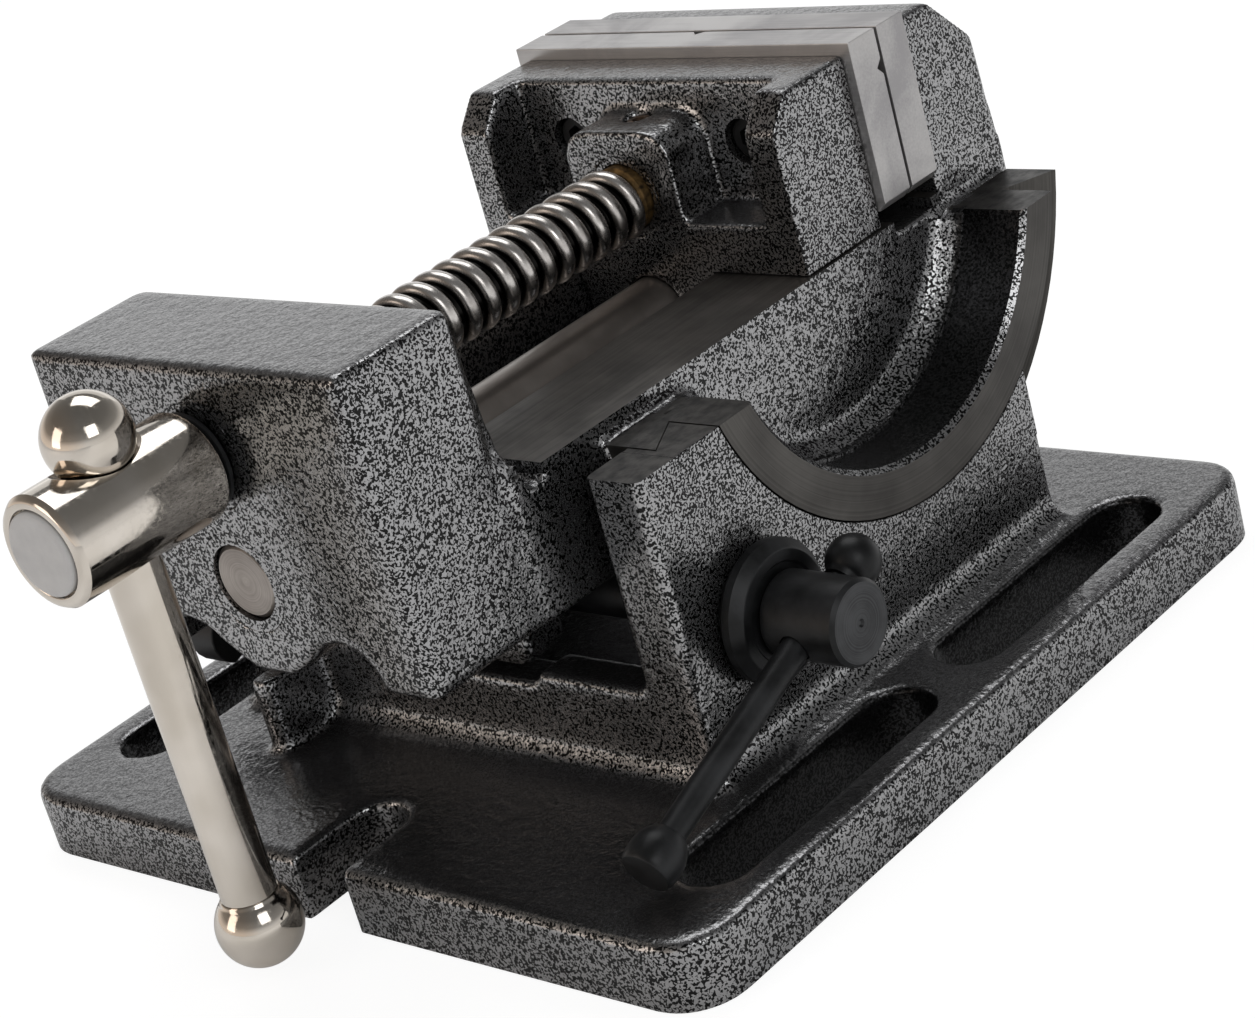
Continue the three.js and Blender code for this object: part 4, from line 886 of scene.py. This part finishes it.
def studioFloor():
    # The paper lights itself where the camera sees it. Its mirror image is painted: it is left out
    # under the object as a painted shadow, and dimmed towards the front left as painted shade.
    look = {"size": 6.0, "paper": "#f6f6f6", "shade": "#f1f1f1", "glow": 1.12, "seenShare": 0.8,
            "mirroredShare": 0.6, "footMm": (96, 118), "fadeMm": 110, "frontMm": (120, 330),
            "frontShare": 0.35}
    bpy.ops.mesh.primitive_plane_add(size=look["size"], location=(0, 0, -0.0002))
    floor = bpy.context.object
    floor.name = "paperFloor"
    material, tree, shader, place = newMaterial("matWhitePaper")
    fibres = addNode(tree, "ShaderNodeTexNoise", {"Scale": 40.0, "Detail": 3.0},
                     {"Vector": place}).outputs["Fac"]
    paper = ramp(tree, fibres, [(0.3, look["shade"]), (0.7, look["paper"])])
    tree.links.new(paper, shader.inputs["Base Color"])
    shader.inputs["Roughness"].default_value = 0.9
    shader.inputs["Specular IOR Level"].default_value = 0.1
    rays = addNode(tree, "ShaderNodeLightPath")
    seen = addNode(tree, "ShaderNodeMath", {"operation": "MULTIPLY", 1: look["seenShare"]},
                   {0: rays.outputs["Is Camera Ray"]}).outputs[0]
    # painted shadow: the glow seen in reflections is left out under the object and rises beyond it
    span = addNode(tree, "ShaderNodeVectorMath", {"operation": "ABSOLUTE"}, {0: place}).outputs[0]
    footX, footY = look["footMm"]
    beyond = addNode(tree, "ShaderNodeVectorMath", {
        "operation": "SUBTRACT", 1: [footX * mm, footY * mm, 0]}, {0: span}).outputs[0]
    clear = addNode(tree, "ShaderNodeVectorMath", {"operation": "MAXIMUM", 1: (0, 0, 0)},
                    {0: beyond}).outputs[0]
    away = addNode(tree, "ShaderNodeVectorMath", {"operation": "LENGTH"},
                   {0: clear}).outputs["Value"]
    clearShare = addNode(tree, "ShaderNodeMapRange", {
        2: look["fadeMm"] * mm, 4: look["mirroredShare"]}, {0: away}).outputs[0]
    # painted shade: the glow seen in reflections is dimmed towards the front left
    frontLeft = addNode(tree, "ShaderNodeVectorMath", {
        "operation": "DOT_PRODUCT", 1: (-0.5, -0.87, 0)}, {0: place}).outputs["Value"]
    nearFront, farFront = look["frontMm"]
    shaded = addNode(tree, "ShaderNodeMapRange", {
        1: nearFront * mm, 2: farFront * mm, 3: 1.0, 4: look["frontShare"]},
        {0: frontLeft}).outputs[0]
    mirrored = addNode(tree, "ShaderNodeMath", {"operation": "MULTIPLY"},
                       {0: clearShare, 1: shaded}).outputs[0]
    share = addNode(tree, "ShaderNodeMath", {"operation": "MULTIPLY_ADD"},
                    {0: rays.outputs["Is Glossy Ray"], 1: mirrored, 2: seen}).outputs[0]
    glow = addNode(tree, "ShaderNodeEmission", {
        "Color": (1, 1, 1, 1), "Strength": look["glow"]}).outputs[0]
    mixed = addNode(tree, "ShaderNodeMixShader", links={
        0: share, 1: shader.outputs[0], 2: glow}).outputs[0]
    out = next(node for node in tree.nodes if node.type == "OUTPUT_MATERIAL")
    tree.links.new(mixed, out.inputs["Surface"])
    floor.data.materials.append(material)


def areaLamp(name, place, size, power, colour="#ffffff"):  # metres and watts
    data = bpy.data.lights.new(name, "AREA")
    data.shape = "RECTANGLE"
    data.size, data.size_y = size
    data.energy = power
    data.color = linearColour(colour)[:3]
    lamp = bpy.data.objects.new(name, data)
    bpy.context.scene.collection.objects.link(lamp)
    lamp.visible_camera = False
    lamp.location = place
    lamp.rotation_euler = (lampAim - Vector(place)).to_track_quat("-Z", "Y").to_euler()


def surround():
    # The camera sees white. Mirrors see a pale horizon that darkens upwards and is warm in front.
    world = bpy.data.worlds.new("studioSurround")
    world.use_nodes = True
    tree = world.node_tree
    tree.nodes.clear()
    rays = addNode(tree, "ShaderNodeLightPath")
    way = addNode(tree, "ShaderNodeTexCoord").outputs["Generated"]
    up = addNode(tree, "ShaderNodeSeparateXYZ", links={0: way}).outputs["Z"]
    mirror = ramp(tree, up, [(0.0, 0.85), (0.12, 0.75), (0.3, 0.3), (0.6, 0.18), (1.0, 0.14)])
    frontLeft = addNode(tree, "ShaderNodeVectorMath", {
        "operation": "DOT_PRODUCT", 1: (-0.55, -0.83, 0)}, {0: way}).outputs["Value"]
    warm = ramp(tree, frontLeft, [(0.1, "#ffffff"), (0.8, "#fff0e2")])
    mirror = addNode(tree, "ShaderNodeMix", {"data_type": "RGBA", "blend_type": "MULTIPLY", 0: 1.0},
                     {6: mirror, 7: warm}).outputs[2]
    plain = addNode(tree, "ShaderNodeMix", {"data_type": "RGBA", 6: (0.42, 0.42, 0.42, 1)}, {
        0: rays.outputs["Is Glossy Ray"], 7: mirror}).outputs[2]
    shown = addNode(tree, "ShaderNodeMix", {"data_type": "RGBA", 7: (1, 1, 1, 1)}, {
        0: rays.outputs["Is Camera Ray"], 6: plain}).outputs[2]
    background = addNode(tree, "ShaderNodeBackground", {"Strength": 1.0}, {"Color": shown})
    addNode(tree, "ShaderNodeOutputWorld", links={"Surface": background.outputs[0]})
    bpy.context.scene.world = world


def photoCamera():
    shot = {"azimuth": 47.09, "elevation": 22.73, "roll": -15.77, "target": (-17.24, 25.05, 30.58),
            "distance": 715.93, "lens": 88.11}
    az, el, roll = (math.radians(shot[k]) for k in ("azimuth", "elevation", "roll"))
    back = Vector((math.sin(az) * math.cos(el), -math.cos(az) * math.cos(el), math.sin(el)))
    level = Vector((0, 0, 1)).cross(back).normalized()
    upright = back.cross(level)
    right = level * math.cos(roll) + upright * math.sin(roll)
    up = upright * math.cos(roll) - level * math.sin(roll)
    data = bpy.data.cameras.new("photoCamera")
    data.lens = shot["lens"]
    data.sensor_width = 36
    data.sensor_fit = "HORIZONTAL"
    data.clip_start = 0.01
    data.clip_end = 20
    camera = bpy.data.objects.new("photoCamera", data)
    bpy.context.scene.collection.objects.link(camera)
    turn = Matrix((right, up, back)).transposed().to_4x4()
    camera.matrix_world = Matrix.Translation(
        (Vector(shot["target"]) + back * shot["distance"]) * mm) @ turn
    bpy.context.scene.camera = camera


studioFloor()
areaLamp("overheadSoftbox", (-0.35, 0.55, 1.35), (1.0, 0.8), 6.5)
areaLamp("rightFill", (1.3, -0.5, 0.9), (0.75, 0.75), 4.5)
areaLamp("frontFill", (-0.6, -1.3, 0.6), (0.6, 0.9), 3, "#ffeee0")
areaLamp("backCard", (-1.05, 1.0, 0.62), (1.3, 0.7), 1.6)
surround()
photoCamera()
bpy.context.scene.view_settings.view_transform = "Standard"
print("studio set")
